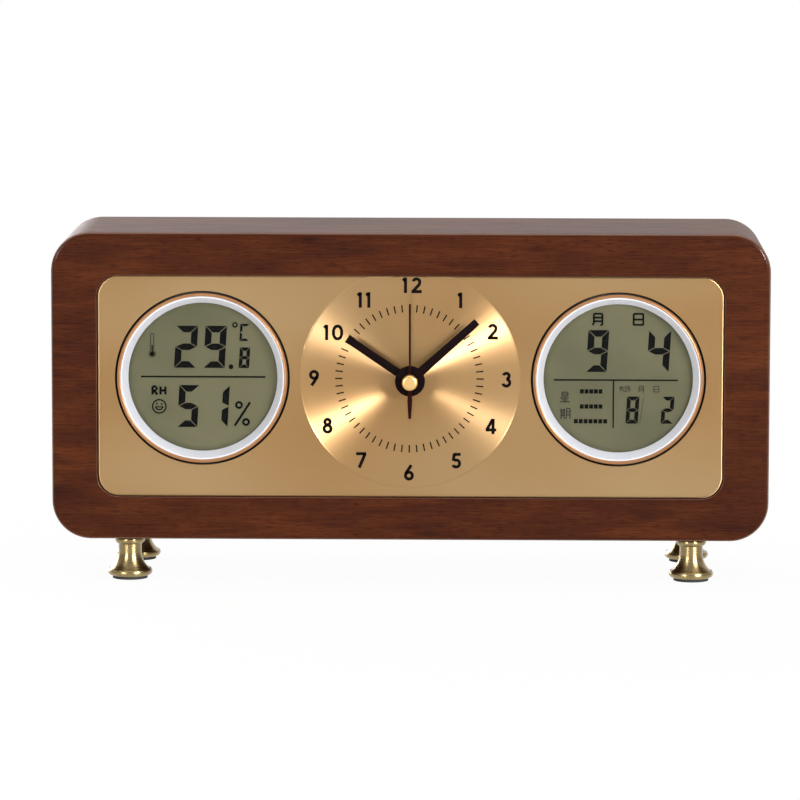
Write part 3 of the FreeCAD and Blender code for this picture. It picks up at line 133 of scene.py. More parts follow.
def spread(
    tree: Tree, source: Socket, low: float, high: float, start: float = 0.3, end: float = 0.7
) -> Socket:
    """Map a value from start..end to low..high and hold it there."""
    inputs = {"Value": source, "From Min": start, "From Max": end, "To Min": low, "To Max": high}
    return add_node(tree, "MapRange", inputs).outputs["Result"]


def calculate(
    tree: Tree, operation: str, first: Value, second: Value = 0.0, third: Value = 0.0
) -> Socket:
    """Result of one arithmetic step."""
    inputs = {0: first, 1: second, 2: third}
    return add_node(tree, "Math", inputs, operation=operation).outputs["Value"]


def shades(tree: Tree, source: Socket, stops: Iterable[tuple[float, str]]) -> Socket:
    """Colours along a value, as stops of (place, hex)."""
    node = add_node(tree, "ValToRGB", {"Fac": source})
    elements = node.color_ramp.elements
    for index, (place, text) in enumerate(stops):
        element = elements[index] if index < 2 else elements.new(place)
        element.position = place
        element.color = srgb(text)
    return node.outputs["Color"]


def split(tree: Tree, vector: Socket) -> bpy.types.NodeOutputs:
    """X, Y and Z of a vector."""
    return add_node(tree, "SeparateXYZ", {"Vector": vector}).outputs


def blended(tree: Tree, share: Value, first: Value, second: Value) -> Socket:
    """Mix of two colours by a share."""
    inputs = {0: share, 6: first, 7: second}
    return add_node(tree, "Mix", inputs, data_type="RGBA").outputs[2]


def relief(tree: Tree, height: Socket, depth: float, normal: Socket | None = None) -> Socket:
    """Normal bent by a height whose full range is a depth in millimetres."""
    inputs = {"Height": height, "Distance": depth * MM, "Strength": 1.0}
    if normal is not None:
        inputs["Normal"] = normal
    return add_node(tree, "Bump", inputs).outputs["Normal"]


def cleared(owner: bpy.types.Material | bpy.types.World) -> Tree:
    """Emptied node tree of a material or of the world."""
    owner.use_nodes = True
    owner.node_tree.nodes.clear()
    return owner.node_tree


@dataclass(frozen=True)
class Finish:
    """Plain finish: one colour with the faint mottle every real surface has."""

    name: str
    slot: str
    base: str
    roughness: float
    metallic: float = 0.0
    mottle_size: float = 6.0
    mottle: float = 0.06
    grain_size: float = 0.5
    grain_depth: float = 0.004
    extra: tuple[tuple[str, object], ...] = ()

    def material(self) -> bpy.types.Material:
        """The finish's material, made the first time it is asked for."""
        title = f"{self.name}_finish"
        if title in bpy.data.materials:
            return bpy.data.materials[title]
        made = bpy.data.materials.new(title)
        tree = cleared(made)
        place = add_node(tree, "TexCoord").outputs["Object"]
        inputs = {"Roughness": self.roughness, "Metallic": self.metallic}
        inputs.update(self.extra)
        inputs.update(self.pattern(tree, place))
        shader = add_node(tree, "BsdfPrincipled", inputs)
        add_node(tree, "OutputMaterial", {"Surface": shader.outputs["BSDF"]})
        return made

    def pattern(self, tree: Tree, place: Socket) -> dict[str, object]:
        """Shader inputs of the finish's own pattern.

        Args:
            tree: the material's node tree.
            place: object coordinates.

        Returns:
            Value or socket for each shader input.
        """
        cloud = noise(tree, sized(tree, place, (self.mottle_size,) * 3))
        grain = noise(tree, sized(tree, place, (self.grain_size,) * 3), detail=2.0)
        return {
            "Base Color": self.tinted(tree, cloud, self.mottle),
            "Roughness": spread(tree, cloud, self.roughness * 0.9, self.roughness * 1.12),
            "Normal": relief(tree, grain, self.grain_depth),
        }

    def tinted(self, tree: Tree, source: Socket, amount: float) -> Socket:
        """Base colour darkened and lightened by a value."""
        colour = srgb(self.base)
        dark = (*[channel * (1 - amount) for channel in colour[:3]], 1.0)
        light = (*[min(channel * (1 + amount), 1.0) for channel in colour[:3]], 1.0)
        return blended(tree, spread(tree, source, 0.0, 1.0), dark, light)


@dataclass(frozen=True)
class StainedWood(Finish):
    """Walnut-stained veneer, sanded and sprayed with satin lacquer: long grain runs along the case
    and round its ends, with short dark pores and slow darker clouds."""

    dark: str = "361306"
    light: str = "6A3515"
    pore: str = "270C05"
    highlight_paint: str = "B79C8C"
    figure_size: Triple = (40, 5.5, 1)
    fibre_size: Triple = (14, 0.5, 1)
    cloud_size: Triple = (60, 26, 1)
    pore_size: Triple = (4.2, 0.3, 1)
    fibre_depth: float = 0.012
    pore_depth: float = 0.02

    def painted_highlight_share(self, tree: Tree) -> Socket:
        """Share of pale painted highlight: it shows where the front and back edges turn over."""
        normal = split(tree, add_node(tree, "NewGeometry").outputs["Normal"])
        turned = calculate(tree, "ABSOLUTE", normal["Y"])
        beyond = calculate(tree, "SUBTRACT", 1.0, turned)
        return spread(tree, calculate(tree, "MULTIPLY", turned, beyond), 0.0, 0.4, 0.12, 0.25)

    def grain_place(self, tree: Tree, place: Socket) -> Socket:
        """Coordinates along and across the grain: it follows each face of the case."""
        axes = split(tree, place)
        normal = split(tree, add_node(tree, "NewGeometry").outputs["Normal"])
        flat = calculate(tree, "ABSOLUTE", normal["Z"])
        across = calculate(tree, "MULTIPLY_ADD", axes["Y"], flat, axes["Z"])
        along = calculate(tree, "ADD", axes["X"], axes["Y"])
        return add_node(tree, "CombineXYZ", {"X": along, "Y": across}).outputs["Vector"]

    def pattern(self, tree: Tree, place: Socket) -> dict[str, object]:
        """Figure, fibres and pores of the veneer."""
        grain = self.grain_place(tree, place)
        figure = noise(tree, sized(tree, grain, self.figure_size), 5.0, 0.9)
        fibre = noise(tree, sized(tree, grain, self.fibre_size), 3.0)
        cloud = noise(tree, sized(tree, grain, self.cloud_size), 2.0, 0.4)
        pores = noise(tree, sized(tree, grain, self.pore_size), 1.0)
        tone = calculate(tree, "MULTIPLY", figure, 0.4)
        tone = calculate(tree, "MULTIPLY_ADD", fibre, 0.35, tone)
        tone = calculate(tree, "MULTIPLY_ADD", cloud, 0.35, tone)
        wood = shades(tree, tone, [(0.38, self.dark), (0.72, self.light), (0.55, self.base)])
        pored = spread(tree, pores, 0.0, 0.7, 0.56, 0.68)
        wood = blended(tree, pored, wood, srgb(self.pore))
        return {
            # The pale colour where the lacquered edges turn over is a painted highlight.
            "Base Color": blended(tree, self.painted_highlight_share(tree), wood, srgb(self.highlight_paint)),
            "Roughness": spread(tree, fibre, self.roughness * 0.85, self.roughness * 1.15),
            "Normal": relief(tree, fibre, self.fibre_depth, relief(tree, pored, -self.pore_depth)),
        }


@dataclass(frozen=True)
class SpunPanel(Finish):
    """Gold-anodised aluminium sheet with fine lengthwise brushing, whose dial was spun on a lathe:
    the circular scratches throw bright fans of light across it."""

    dial_radius: float = 38.4
    pale: str = "BF9C6C"
    ring_pitch: float = 0.22
    hairline_size: Triple = (26, 9, 0.16)
    cloud_size: Triple = (90, 30, 50)
    mark_depth: float = 0.002
    rim_depth: float = 0.1
    rim_inner: float = 37.9
    rim_outer: float = 38.6

    def pattern(self, tree: Tree, place: Socket) -> dict[str, object]:
        """Straight hairlines on the sheet and circular ones inside the dial."""
        centre = (0, FRONT_FACE, DIAL_CENTRE)
        local = sized(tree, place, (1, 1, 1), centre)
        flat = add_node(tree, "VectorMath", {0: local, 1: (1, 0, 1)}, operation="MULTIPLY")
        radial = flat.outputs["Vector"]
        radius = add_node(tree, "VectorMath", {0: radial}, operation="LENGTH")
        radius = radius.outputs["Value"]
        inside = calculate(tree, "LESS_THAN", radius, self.dial_radius)
        rings = calculate(tree, "DIVIDE", radius, self.ring_pitch)
        rings = add_node(tree, "CombineXYZ", {"X": rings})
        ring_noise = noise(tree, rings.outputs["Vector"], 3.0)
        lines = noise(tree, sized(tree, place, self.hairline_size), 2.0)
        cloud = noise(tree, sized(tree, place, self.cloud_size), 1.0)
        rim = spread(tree, radius, 0.0, 1.0, self.rim_inner, self.rim_outer)
        marks = add_node(tree, "Mix", {0: inside, 2: lines, 3: ring_noise}).outputs[0]
        outward = add_node(tree, "VectorMath", {0: radial}, operation="NORMALIZE")
        chosen = {0: inside, 4: (0, 0, 1), 5: outward.outputs["Vector"]}
        tangent = add_node(tree, "Mix", chosen, data_type="VECTOR").outputs[1]
        tone = calculate(tree, "MULTIPLY_ADD", marks, 0.5, calculate(tree, "MULTIPLY", cloud, 0.5))
        pale = spread(tree, cloud, 0.0, 1.0, 0.35, 0.65)
        gold = blended(tree, pale, self.tinted(tree, tone, self.mottle), srgb(self.pale))
        return {
            "Base Color": gold,
            "Roughness": spread(tree, marks, self.roughness * 0.92, self.roughness * 1.08),
            "Tangent": tangent,
            "Normal": relief(tree, marks, self.mark_depth, relief(tree, rim, self.rim_depth)),
        }


@dataclass(frozen=True)
class TurnedMetal(Finish):
    """Metal turned on a lathe and lacquered: fine tool rings along the axis and a faint patina."""

    axis: int = 2
    ring_pitch: float = 0.35
    ring_length: float = 400.0
    ring_depth: float = 0.006
    patina: str = "6B5A34"
    streaks: float = 0.0

    def pattern(self, tree: Tree, place: Socket) -> dict[str, object]:
        """Tool rings, and patina in slow clouds."""
        size = [self.ring_length] * 3
        size[self.axis] = self.ring_pitch
        rings = noise(tree, sized(tree, place, tuple(size)), 2.0)
        cloud = noise(tree, sized(tree, place, (self.mottle_size,) * 3), 4.0)
        share = spread(tree, cloud, 0.0, self.mottle, 0.45, 0.75)
        along = add_node(tree, "CombineXYZ", {"Z": 1.0}).outputs["Vector"]
        stretched = {"Anisotropic": self.streaks, "Tangent": along} if self.streaks else {}
        return stretched | {
            "Base Color": blended(tree, share, srgb(self.base), srgb(self.patina)),
            "Roughness": spread(tree, rings, self.roughness * 0.8, self.roughness * 1.25),
            "Normal": relief(tree, rings, self.ring_depth),
        }


@dataclass(frozen=True)
class Laminate(Finish):
    """Green circuit laminate with copper tracks under the solder mask."""

    track: str = "1F5A33"
    cell: float = 3.2
    track_depth: float = 0.03

    def pattern(self, tree: Tree, place: Socket) -> dict[str, object]:
        """Tracks as the edges of a coarse grid of cells."""
        cells = {"Vector": sized(tree, place, (self.cell,) * 3), "Scale": 1.0, "Randomness": 0.55}
        cells = add_node(tree, "TexVoronoi", cells, feature="DISTANCE_TO_EDGE")
        track = spread(tree, cells.outputs["Distance"], 1.0, 0.0, 0.05, 0.09)
        return {
            "Base Color": blended(tree, track, srgb(self.base), srgb(self.track)),
            "Normal": relief(tree, track, self.track_depth),
        }


@dataclass(frozen=True)
class Winding(Finish):
    """Enamelled copper wire wound side by side; the pitch is drawn coarse enough to show."""

    pitch: float = 0.3
    turn_depth: float = 0.04

    def pattern(self, tree: Tree, place: Socket) -> dict[str, object]:
        """Round turns of wire stacked up the core, with painted shade in the grooves between turns
        and painted highlight on their crowns.
        """
        height = split(tree, place)["Z"]
        phase = calculate(tree, "MULTIPLY", height, 2 * math.pi / (self.pitch * MM))
        turns = calculate(tree, "SINE", phase)
        return {
            # The base colour follows the turns' height: painted shade in the grooves, painted
            # highlight on the crowns.
            "Base Color": self.tinted(tree, spread(tree, turns, 0.3, 0.7, -1.0, 1.0), 0.3),
            "Normal": relief(tree, turns, self.turn_depth),
        }


@dataclass(frozen=True)
class PrintedTube(Finish):
    """Printed steel jacket of a battery: dark film with a copper-coloured band at the far end."""

    band: str = "B06A35"
    band_start: float = 9.0
    band_blur: float = 0.1

    def pattern(self, tree: Tree, place: Socket) -> dict[str, object]:
        """Two-colour print along the battery."""
        edge, blur = self.band_start * MM, self.band_blur * MM
        share = spread(tree, split(tree, place)["X"], 0.0, 1.0, edge, edge + blur)
        cloud = noise(tree, sized(tree, place, (self.mottle_size,) * 3))
        return {
            "Base Color": blended(tree, share, srgb(self.base), srgb(self.band)),
            "Roughness": spread(tree, cloud, self.roughness * 0.9, self.roughness * 1.1),
        }


@dataclass(frozen=True)
class DisplayFace(Finish):
    """Reflective liquid-crystal face: grey-green film with slow changes of tone."""

    dark: str = "6D6C50"
    cloud_size: Triple = (34, 34, 22)
    diffuser_size: float = 0.25
    diffuser_depth: float = 0.0004

    def pattern(self, tree: Tree, place: Socket) -> dict[str, object]:
        """Slow change of tone and a fine diffuser grain."""
        cloud = noise(tree, sized(tree, place, self.cloud_size), 1.0)
        grain = noise(tree, sized(tree, place, (self.diffuser_size,) * 3), 2.0)
        return {
            "Base Color": shades(tree, cloud, [(0.3, self.dark), (0.65, self.base)]),
            "Normal": relief(tree, grain, self.diffuser_depth),
        }


# Settings of the shader that stay the same all over a finish.
COATED = (("Coat Weight", 0.16), ("Coat Roughness", 0.14), ("Specular IOR Level", 0.02))
SPUN = (("Anisotropic", 1.0), ("Specular IOR Level", 1.0))
GLASS = (("Alpha", 0.035), ("Specular IOR Level", 0.25))
DULL = (("Specular IOR Level", 0.12),)
INKED = (("Specular IOR Level", 0.05),)
LACQUER = (("Coat Weight", 0.35), ("Coat Roughness", 0.2))


class Surface(Enum):
    """Every finish on the clock."""

    WALNUT = StainedWood("stained_walnut", "walnut", "52240C", 0.45, extra=COATED)
    BOARD = Finish("painted_board", "back_board", "2B2724", 0.62, grain_size=0.35, grain_depth=0.02)
    PANEL = SpunPanel("spun_gold", "gold_aluminium", "B48A54", 0.32, 0.62, extra=SPUN)
    BRASS = TurnedMetal("turned_brass", "brass", "98845A", 0.3, 1.0, 5.0, 0.35, streaks=0.8,
                        extra=LACQUER)
    CAP = TurnedMetal("cap_brass", "brass", "E0B878", 0.34, 1.0, axis=1)
    ROSE = TurnedMetal("rose_gold", "rose_gold", "A87D58", 0.34, 1.0, axis=1, patina="93694A")
    SILVER = TurnedMetal("satin_silver", "silver", "F4F6FE", 0.42, 0.2, axis=1, patina="E4E4EA")
    WINDOW = Finish("window_glass", "clear_window", "202020", 0.04, extra=GLASS)
    DISPLAY = DisplayFace("display_face", "display_glass", "7D7A5C", 0.5, extra=DULL)
    SEGMENT = Finish("display_segments", "display_glass", "060605", 0.5, extra=INKED)
    FAINT = Finish("faint_segments", "display_glass", "33322A", 0.5, extra=DULL)
    INK = Finish("printed_ink", "black_paint", "0A0403", 0.55, grain_depth=0.002, extra=INKED)
    PAINT = Finish("black_lacquer", "black_paint", "120102", 0.45, grain_depth=0.002, extra=INKED)
    BROWN = Finish("brown_lacquer", "black_paint", "2C0402", 0.45, grain_depth=0.002, extra=INKED)
    BLACK = Finish("moulded_black", "black_plastic", "232326", 0.5, grain_size=0.3,
                   grain_depth=0.012)
    DARK = Finish("smooth_black", "black_plastic", "1B1B1E", 0.36, grain_depth=0.003)
    GREY = Finish("moulded_grey", "grey_plastic", "8A8A8C", 0.42, grain_depth=0.004)
    MARKING = Finish("pale_marking", "grey_plastic", "B9B9B5", 0.5)
    RUBBER = Finish("black_rubber", "rubber", "101010", 0.75, grain_size=0.3, grain_depth=0.02)
    STEEL = TurnedMetal("screw_steel", "steel", "B4B4B2", 0.28, 1.0, axis=1, patina="7D7C78")
    NICKEL = TurnedMetal("nickel_plate", "nickel", "C9C6BE", 0.2, 1.0, axis=1, patina="A09C92")
    COPPER = Winding("copper_wire", "copper_winding", "A65A32", 0.34, 0.8)
    ACETAL = Finish("white_acetal", "acetal", "E6E3D8", 0.38, grain_depth=0.002)
    LAMINATE = Laminate("green_laminate", "circuit_laminate", "174A28", 0.35)
    JACKET = PrintedTube("printed_jacket", "battery_jacket", "23242A", 0.28, 0.35)


def facing(x: float = 0.0, depth: float = 0.0, height: float = DIAL_CENTRE) -> Matrix:
    """Place of a piece drawn from the front: x right, y up, z towards the viewer."""
    spot = Matrix.Translation(Vector((x, FRONT_FACE + depth, height)) * MM)
    return spot @ Matrix.Rotation(math.pi / 2, 4, "X") @ Matrix.Scale(MM, 4)


def from_behind(x: float, depth: float, height: float) -> Matrix:
    """Place of a piece drawn as seen from behind: x left, y up, z backwards."""
    return facing(x, depth, height) @ Matrix.Rotation(math.pi, 4, "Y")


def upright(x: float, depth: float, height: float = 0.0) -> Matrix:
    """Place of a piece that stands on its own z axis."""
    spot = Matrix.Translation(Vector((x, FRONT_FACE + depth, height)) * MM)
    return spot @ Matrix.Scale(MM, 4)


def heading(degrees: float) -> Vector:
    """Unit vector at an angle from the x axis, anticlockwise."""
    return Vector((math.cos(math.radians(degrees)), math.sin(math.radians(degrees))))


def flat(corners: Iterable[Vector]) -> list[Point]:
    """Plain x and y of each corner."""
    return [(corner.x, corner.y) for corner in corners]


def bevel(
    mesh: bmesh.types.BMesh, geom: list, affect: str, offset: float, segments: int, **more: bool
) -> None:
    """Round the given edges, or the given corners, of a mesh."""
    settings = {"offset": offset, "segments": segments, "profile": 0.5, "material": -1} | more
    bmesh.ops.bevel(mesh, geom=geom, affect=affect, **settings)


def linked(name: str, data: bpy.types.ID) -> Piece:
    """New object of the scene, with its data."""
    made = bpy.data.objects.new(name, data)
    bpy.context.scene.collection.objects.link(made)
    return made


class Blank:
    """Workpiece in millimetres, shaped by mesh operators and then set in its place."""

    def __init__(self) -> None:
        """Start with nothing."""
        self.mesh = bmesh.new()

    def spin(self, profile: list[Point], segments: int = 96, x: float = 0, y: float = 0) -> "Blank":
        """Turn a profile of (radius, height) round the z axis.

        Args:
            profile: corners in order; it may start and end on the axis.
            segments: faces round the axis.
            x: place of the axis.
            y: place of the axis.

        Returns:
            The blank itself.
        """
        closed = profile[0][0] > 0 or profile[-1][0] > 0
        verts = [self.mesh.verts.new((radius + x, y, height)) for radius, height in profile]
        pairs = list(zip(verts, verts[1:])) + ([(verts[-1], verts[0])] if closed else [])
        edges = [self.mesh.edges.new(pair) for pair in pairs]
        turn = {"cent": (x, y, 0), "axis": (0, 0, 1), "angle": 2 * math.pi, "steps": segments}
        bmesh.ops.spin(self.mesh, geom=verts + edges, use_merge=True, **turn)
        bmesh.ops.remove_doubles(self.mesh, verts=self.mesh.verts, dist=WELD)
        return self

    def raised(self, faces: list[bmesh.types.BMFace], length: float) -> None:
        """Extrude faces upwards."""
        grown = bmesh.ops.extrude_face_region(self.mesh, geom=faces)["geom"]
        moved = [item for item in grown if isinstance(item, bmesh.types.BMVert)]
        bmesh.ops.translate(self.mesh, verts=moved, vec=(0, 0, length))

    def polygon(self, corners: Iterable[Point], low: float, high: float) -> "Blank":
        """Prism over a polygon between two levels."""
        verts = [self.mesh.verts.new((x, y, low)) for x, y in corners]
        self.raised([self.mesh.faces.new(verts)], high - low)
        return self

    def bar(self, start: Point, end: Point, width: float, low: float, high: float) -> "Blank":
        """Straight stroke of a width from start to end."""
        run = Vector((end[0] - start[0], end[1] - start[1]))
        side = Vector((-run.y, run.x)).normalized() * width / 2
        first, last = Vector(start), Vector(end)
        corners = [first - side, last - side, last + side, first + side]
        return self.polygon(flat(corners), low, high)

    def arc(
        self, centre: Point, radius: float, angles: Point, width: float, levels: Point
    ) -> "Blank":
        """Curved stroke about a centre.

        Args:
            centre: centre of the curve.
            radius: radius of the stroke's middle.
            angles: first and last angle in degrees, anticlockwise.
            width: width of the stroke.
            levels: underside and upper side.

        Returns:
            The blank itself.
        """
        low, high = levels
        section = [(radius + side * width / 2, level) for side, level in
                   ((-1, low), (1, low), (1, high), (-1, high))]
        sweep = math.radians(angles[1] - angles[0])
        if sweep >= 2 * math.pi:
            return self.spin(section, 48, *centre)
        aim = heading(angles[0]).to_3d()
        middle = Vector((*centre, 0))
        verts = [self.mesh.verts.new(middle + aim * r + Vector((0, 0, z))) for r, z in section]
        face = self.mesh.faces.new(verts)
        turn = {"cent": middle, "axis": (0, 0, 1), "angle": sweep}
        steps = max(4, round(sweep / math.radians(9)))
        bmesh.ops.spin(self.mesh, geom=[face], steps=steps, **turn)
        return self

    def lettering(
        self, text: str, size: float, levels: Point, spot: Point, turn: float = 0.0
    ) -> "Blank":
        """Raised letters.

        Args:
            text: letters to draw.
            size: size of the type.
            levels: underside and upper side.
            spot: middle of the word.
            turn: turn of the word in radians, anticlockwise.

        Returns:
            The blank itself.
        """
        font = bpy.data.curves.new("lettering", "FONT")
        font.body, font.size = text, size
        font.align_x, font.align_y = "CENTER", "CENTER"
        holder = bpy.data.objects.new("lettering", font)
        word = bpy.data.meshes.new_from_object(holder)
        word.transform(Matrix.Translation((*spot, levels[0])) @ Matrix.Rotation(turn, 4, "Z"))
        known = set(self.mesh.faces)
        self.mesh.from_mesh(word)
        faces = [face for face in self.mesh.faces if face not in known]
        self.raised(faces, levels[1] - levels[0])
        bpy.data.objects.remove(holder)
        bpy.data.curves.remove(font)
        bpy.data.meshes.remove(word)
        return self

    def loops(self, rings: Iterable[Quad], steps: int = 14) -> "Blank":
        """Closed skin over rounded rectangles.

        Args:
            rings: width, height, corner and level of each rectangle, in order.
            steps: faces round each corner.

        Returns:
            The blank itself.
        """
        hoops = []
        for width, height, corner, level in rings:
            known = set(self.mesh.faces)
            made = bmesh.ops.create_grid(self.mesh, x_segments=1, y_segments=1, size=0.5)["verts"]
            bmesh.ops.scale(self.mesh, verts=made, vec=(width, height, 1))
            bmesh.ops.translate(self.mesh, verts=made, vec=(0, 0, level))
            bevel(self.mesh, made, "VERTICES", corner, steps)
            face = next(face for face in self.mesh.faces if face not in known)
            hoops.append(list(face.edges))
            bmesh.ops.delete(self.mesh, geom=[face], context="FACES_ONLY")
        for hoop, following in zip(hoops, hoops[1:] + hoops[:1]):
            bmesh.ops.bridge_loops(self.mesh, edges=hoop + following)
        return self

    def set_in(
        self,
        name: str,
        place: Matrix,
        surface: Surface,
        body: str = "case",
        replaces: Iterable[str] = (),
    ) -> Piece:
        """Put the workpiece in its place, dress it and fix it to a body of the clock.

        Args:
            name: name of the piece.
            place: matrix from the workpiece's millimetres to the clock.
            surface: finish of the piece.
            body: body that carries it.
            replaces: nodes that it stands for.

        Returns:
            The finished object.
        """
        bmesh.ops.remove_doubles(self.mesh, verts=self.mesh.verts, dist=FINE_GAP)
        bmesh.ops.recalc_face_normals(self.mesh, faces=self.mesh.faces)
        bmesh.ops.transform(self.mesh, matrix=place, verts=self.mesh.verts)
        return finished(self.mesh, name, surface, body, replaces, CREASE)


def finished(
    mesh: bmesh.types.BMesh,
    name: str,
    surface: Surface,
    body: str,
    replaces: Iterable[str],
    crease: float,
) -> Piece:
    """Object from a mesh that is already in its place.

    Args:
        mesh: the mesh in metres, which is used up.
        name: name of the piece.
        surface: finish of the piece.
        body: body that carries it.
        replaces: nodes that it stands for.
        crease: edges sharper than this, in degrees, stay sharp.

    Returns:
        The finished object.
    """
    data = bpy.data.meshes.new(name)
    mesh.to_mesh(data)
    mesh.free()
    data.shade_smooth()
    data.set_sharp_from_angle(angle=math.radians(crease))
    data.materials.append(surface.value.material())
    made = linked(name, data)
    even = made.modifiers.new("even_shading", "WEIGHTED_NORMAL")
    even.keep_sharp = True
    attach(made, body)
    if replaces:
        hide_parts(*replaces)
    LOG.info("%s made", name)
    return made


def cut(mesh: bmesh.types.BMesh, tool: Blank, place: Matrix) -> None:
    """Take a tool's shape out of a mesh.

    Args:
        mesh: the mesh in metres, changed in place.
        tool: workpiece that is taken away, and used up.
        place: matrix from the tool's millimetres to the clock.
    """
    bmesh.ops.transform(tool.mesh, matrix=place, verts=tool.mesh.verts)
    pair = []
    for name, shape in (("stock", mesh), ("tool", tool.mesh)):
        bmesh.ops.recalc_face_normals(shape, faces=shape.faces)
        data = bpy.data.meshes.new(name)
        shape.to_mesh(data)
        data.transform(Matrix.Scale(1 / MM, 4))
        pair.append(linked(name, data))
    stock, taken = pair
    cutting = stock.modifiers.new("cutting", "BOOLEAN")
    cutting.operation, cutting.solver, cutting.object = "DIFFERENCE", "EXACT", taken
    result = stock.evaluated_get(bpy.context.evaluated_depsgraph_get()).to_mesh()
    mesh.clear()
    mesh.from_mesh(result)
    bmesh.ops.scale(mesh, verts=mesh.verts, vec=(MM, MM, MM))
    tool.mesh.free()
    for made in pair:
        data = made.data
        bpy.data.objects.remove(made)
        bpy.data.meshes.remove(data)


def refined(
    node: str,
    surface: Surface,
    body: str = "case",
    edge: float = 0.0,
    tool: Blank | None = None,
) -> Piece:
    """Merged, smoothly shaded copy of a node, with its sharp edges broken.

    Args:
        node: node that the copy replaces.
        surface: finish of the copy.
        body: body that carries it.
        edge: width of the broken edges in millimetres, or none.
        tool: shape drawn from behind, from the case's front face, that is taken out.

    Returns:
        The finished object.
    """
    mesh = bmesh.new()
    mesh.from_mesh(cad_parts[node].data)
    bmesh.ops.remove_doubles(mesh, verts=mesh.verts, dist=WELD * MM)
    limit = {"angle_limit": math.radians(LEVEL_ANGLE), "use_dissolve_boundaries": False}
    bmesh.ops.dissolve_limit(mesh, verts=mesh.verts, edges=mesh.edges, **limit)
    if edge:
        sharp = [e for e in mesh.edges if e.calc_face_angle(0.0) > math.radians(NODE_CREASE)]
        bevel(mesh, sharp, "EDGES", edge * MM, 2, clamp_overlap=True)
    if tool:
        cut(mesh, tool, from_behind(0, 0, 0))
    return finished(mesh, f"{node}_finished", surface, body, [node], NODE_CREASE)


def dress(surface: Surface, *nodes: str) -> None:
    """Give nodes of the frame their finish."""
    for node in nodes:
        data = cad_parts[node].data
        data.materials.clear()
        data.materials.append(surface.value.material())
        LOG.info("%s dressed", node)


def curve(start: Point, end: Point, centre: Point, steps: int = 6) -> list[Point]:
    """Points of the shorter arc about a centre, from start to end."""
    first = Vector(start) - Vector(centre)
    last = Vector(end) - Vector(centre)
    sweep = math.atan2(first.cross(last), first.dot(last))
    turns = [Matrix.Rotation(sweep * step / steps, 2) for step in range(steps + 1)]
    return [tuple(Vector(centre) + turn @ first) for turn in turns]


def rounded(start: Point, corner: Point, end: Point, steps: int = 5) -> list[Point]:
    """Points of the quarter turn that takes off a square corner."""
    centre = (start[0] + end[0] - corner[0], start[1] + end[1] - corner[1])
    return curve(start, end, centre, steps)


@dataclass
class CrossRecess:
    """Cross recesses in the heads of a set of screws."""

    places: tuple[Point, ...]
    head_level: float
    span: float
    width: float
    depth: float

    def tool(self) -> Blank:
        """Crosses to take out, drawn from behind the clock."""
        made = Blank()
        long, thin = self.span / 2, self.width / 2
        quarter = [(thin, -thin), (long, -thin), (long, thin)]
        for x, z in self.places:
            turns = [Matrix.Rotation(math.pi / 2 * step, 2) for step in range(4)]
            corners = [turn @ Vector(corner) for turn in turns for corner in quarter]
            outline = [(corner.x - x, corner.y + z) for corner in corners]
            made.polygon(outline, self.head_level - self.depth, self.head_level + self.depth)
        return made


@dataclass
class Case:
    """Veneered wooden case, open at the front for the panel and at the back for its board."""

    width: float = 250.0
    height: float = 107.6
    depth: float = 63.0
    corner: float = 13.5
    edge: float = 1.4
    opening: Triple = (218.3, 77.7, 7.65)
    opening_edge: float = 0.35
    seat: float = 11.0
    recess: Triple = (220.0, 79.0, 8.0)
    ledge: float = 27.0
    screw_x: Point = (-104.21, 104.21)
    screw_z: Point = (-33.71, 33.71)
    screw_head: float = 31.6
    cross: Triple = (3.3, 0.8, 1.1)

    def ring(self, size: Triple, inset: float, depth: float) -> Quad:
        """Rounded rectangle drawn in from a size, at a depth."""
        width, height, corner = size
        return (width - 2 * inset, height - 2 * inset, corner - inset, -depth)

    def build(self) -> None:
        """Skin of the case: opening, front face, outside, back edge and inside."""
        outer = (self.width, self.height, self.corner)
        near, far = self.edge, self.depth - self.edge
        front = rounded((near, 0), (0, 0), (0, near))
        back = rounded((0, far), (0, self.depth), (near, self.depth))
        lip = self.opening_edge
        rings = [self.ring(self.opening, inset, depth) for inset, depth in
                 [(0, self.seat), *rounded((0, lip), (0, 0), (-lip, 0), 3)]]
        rings += [self.ring(outer, inset, depth) for inset, depth in front + back]
        rings += [self.ring(self.recess, inset, depth) for inset, depth in
                  [*rounded((-lip, self.depth), (0, self.depth), (0, self.depth - lip), 3),
                   (0, self.ledge)]]
        place = facing(height=CASE_CENTRE)
        Blank().loops(rings).set_in("case_skin", place, Surface.WALNUT, replaces=["case_body"])

    def build_back(self) -> None:
        """Painted board on the ledge, and its screws."""
        refined("back_panel", Surface.BOARD, edge=0.2)
        places = tuple((x, CASE_CENTRE + z) for x in self.screw_x for z in self.screw_z)
        crosses = CrossRecess(places, self.screw_head, *self.cross).tool()
        refined("back_panel_screws", Surface.STEEL, edge=0.1, tool=crosses)


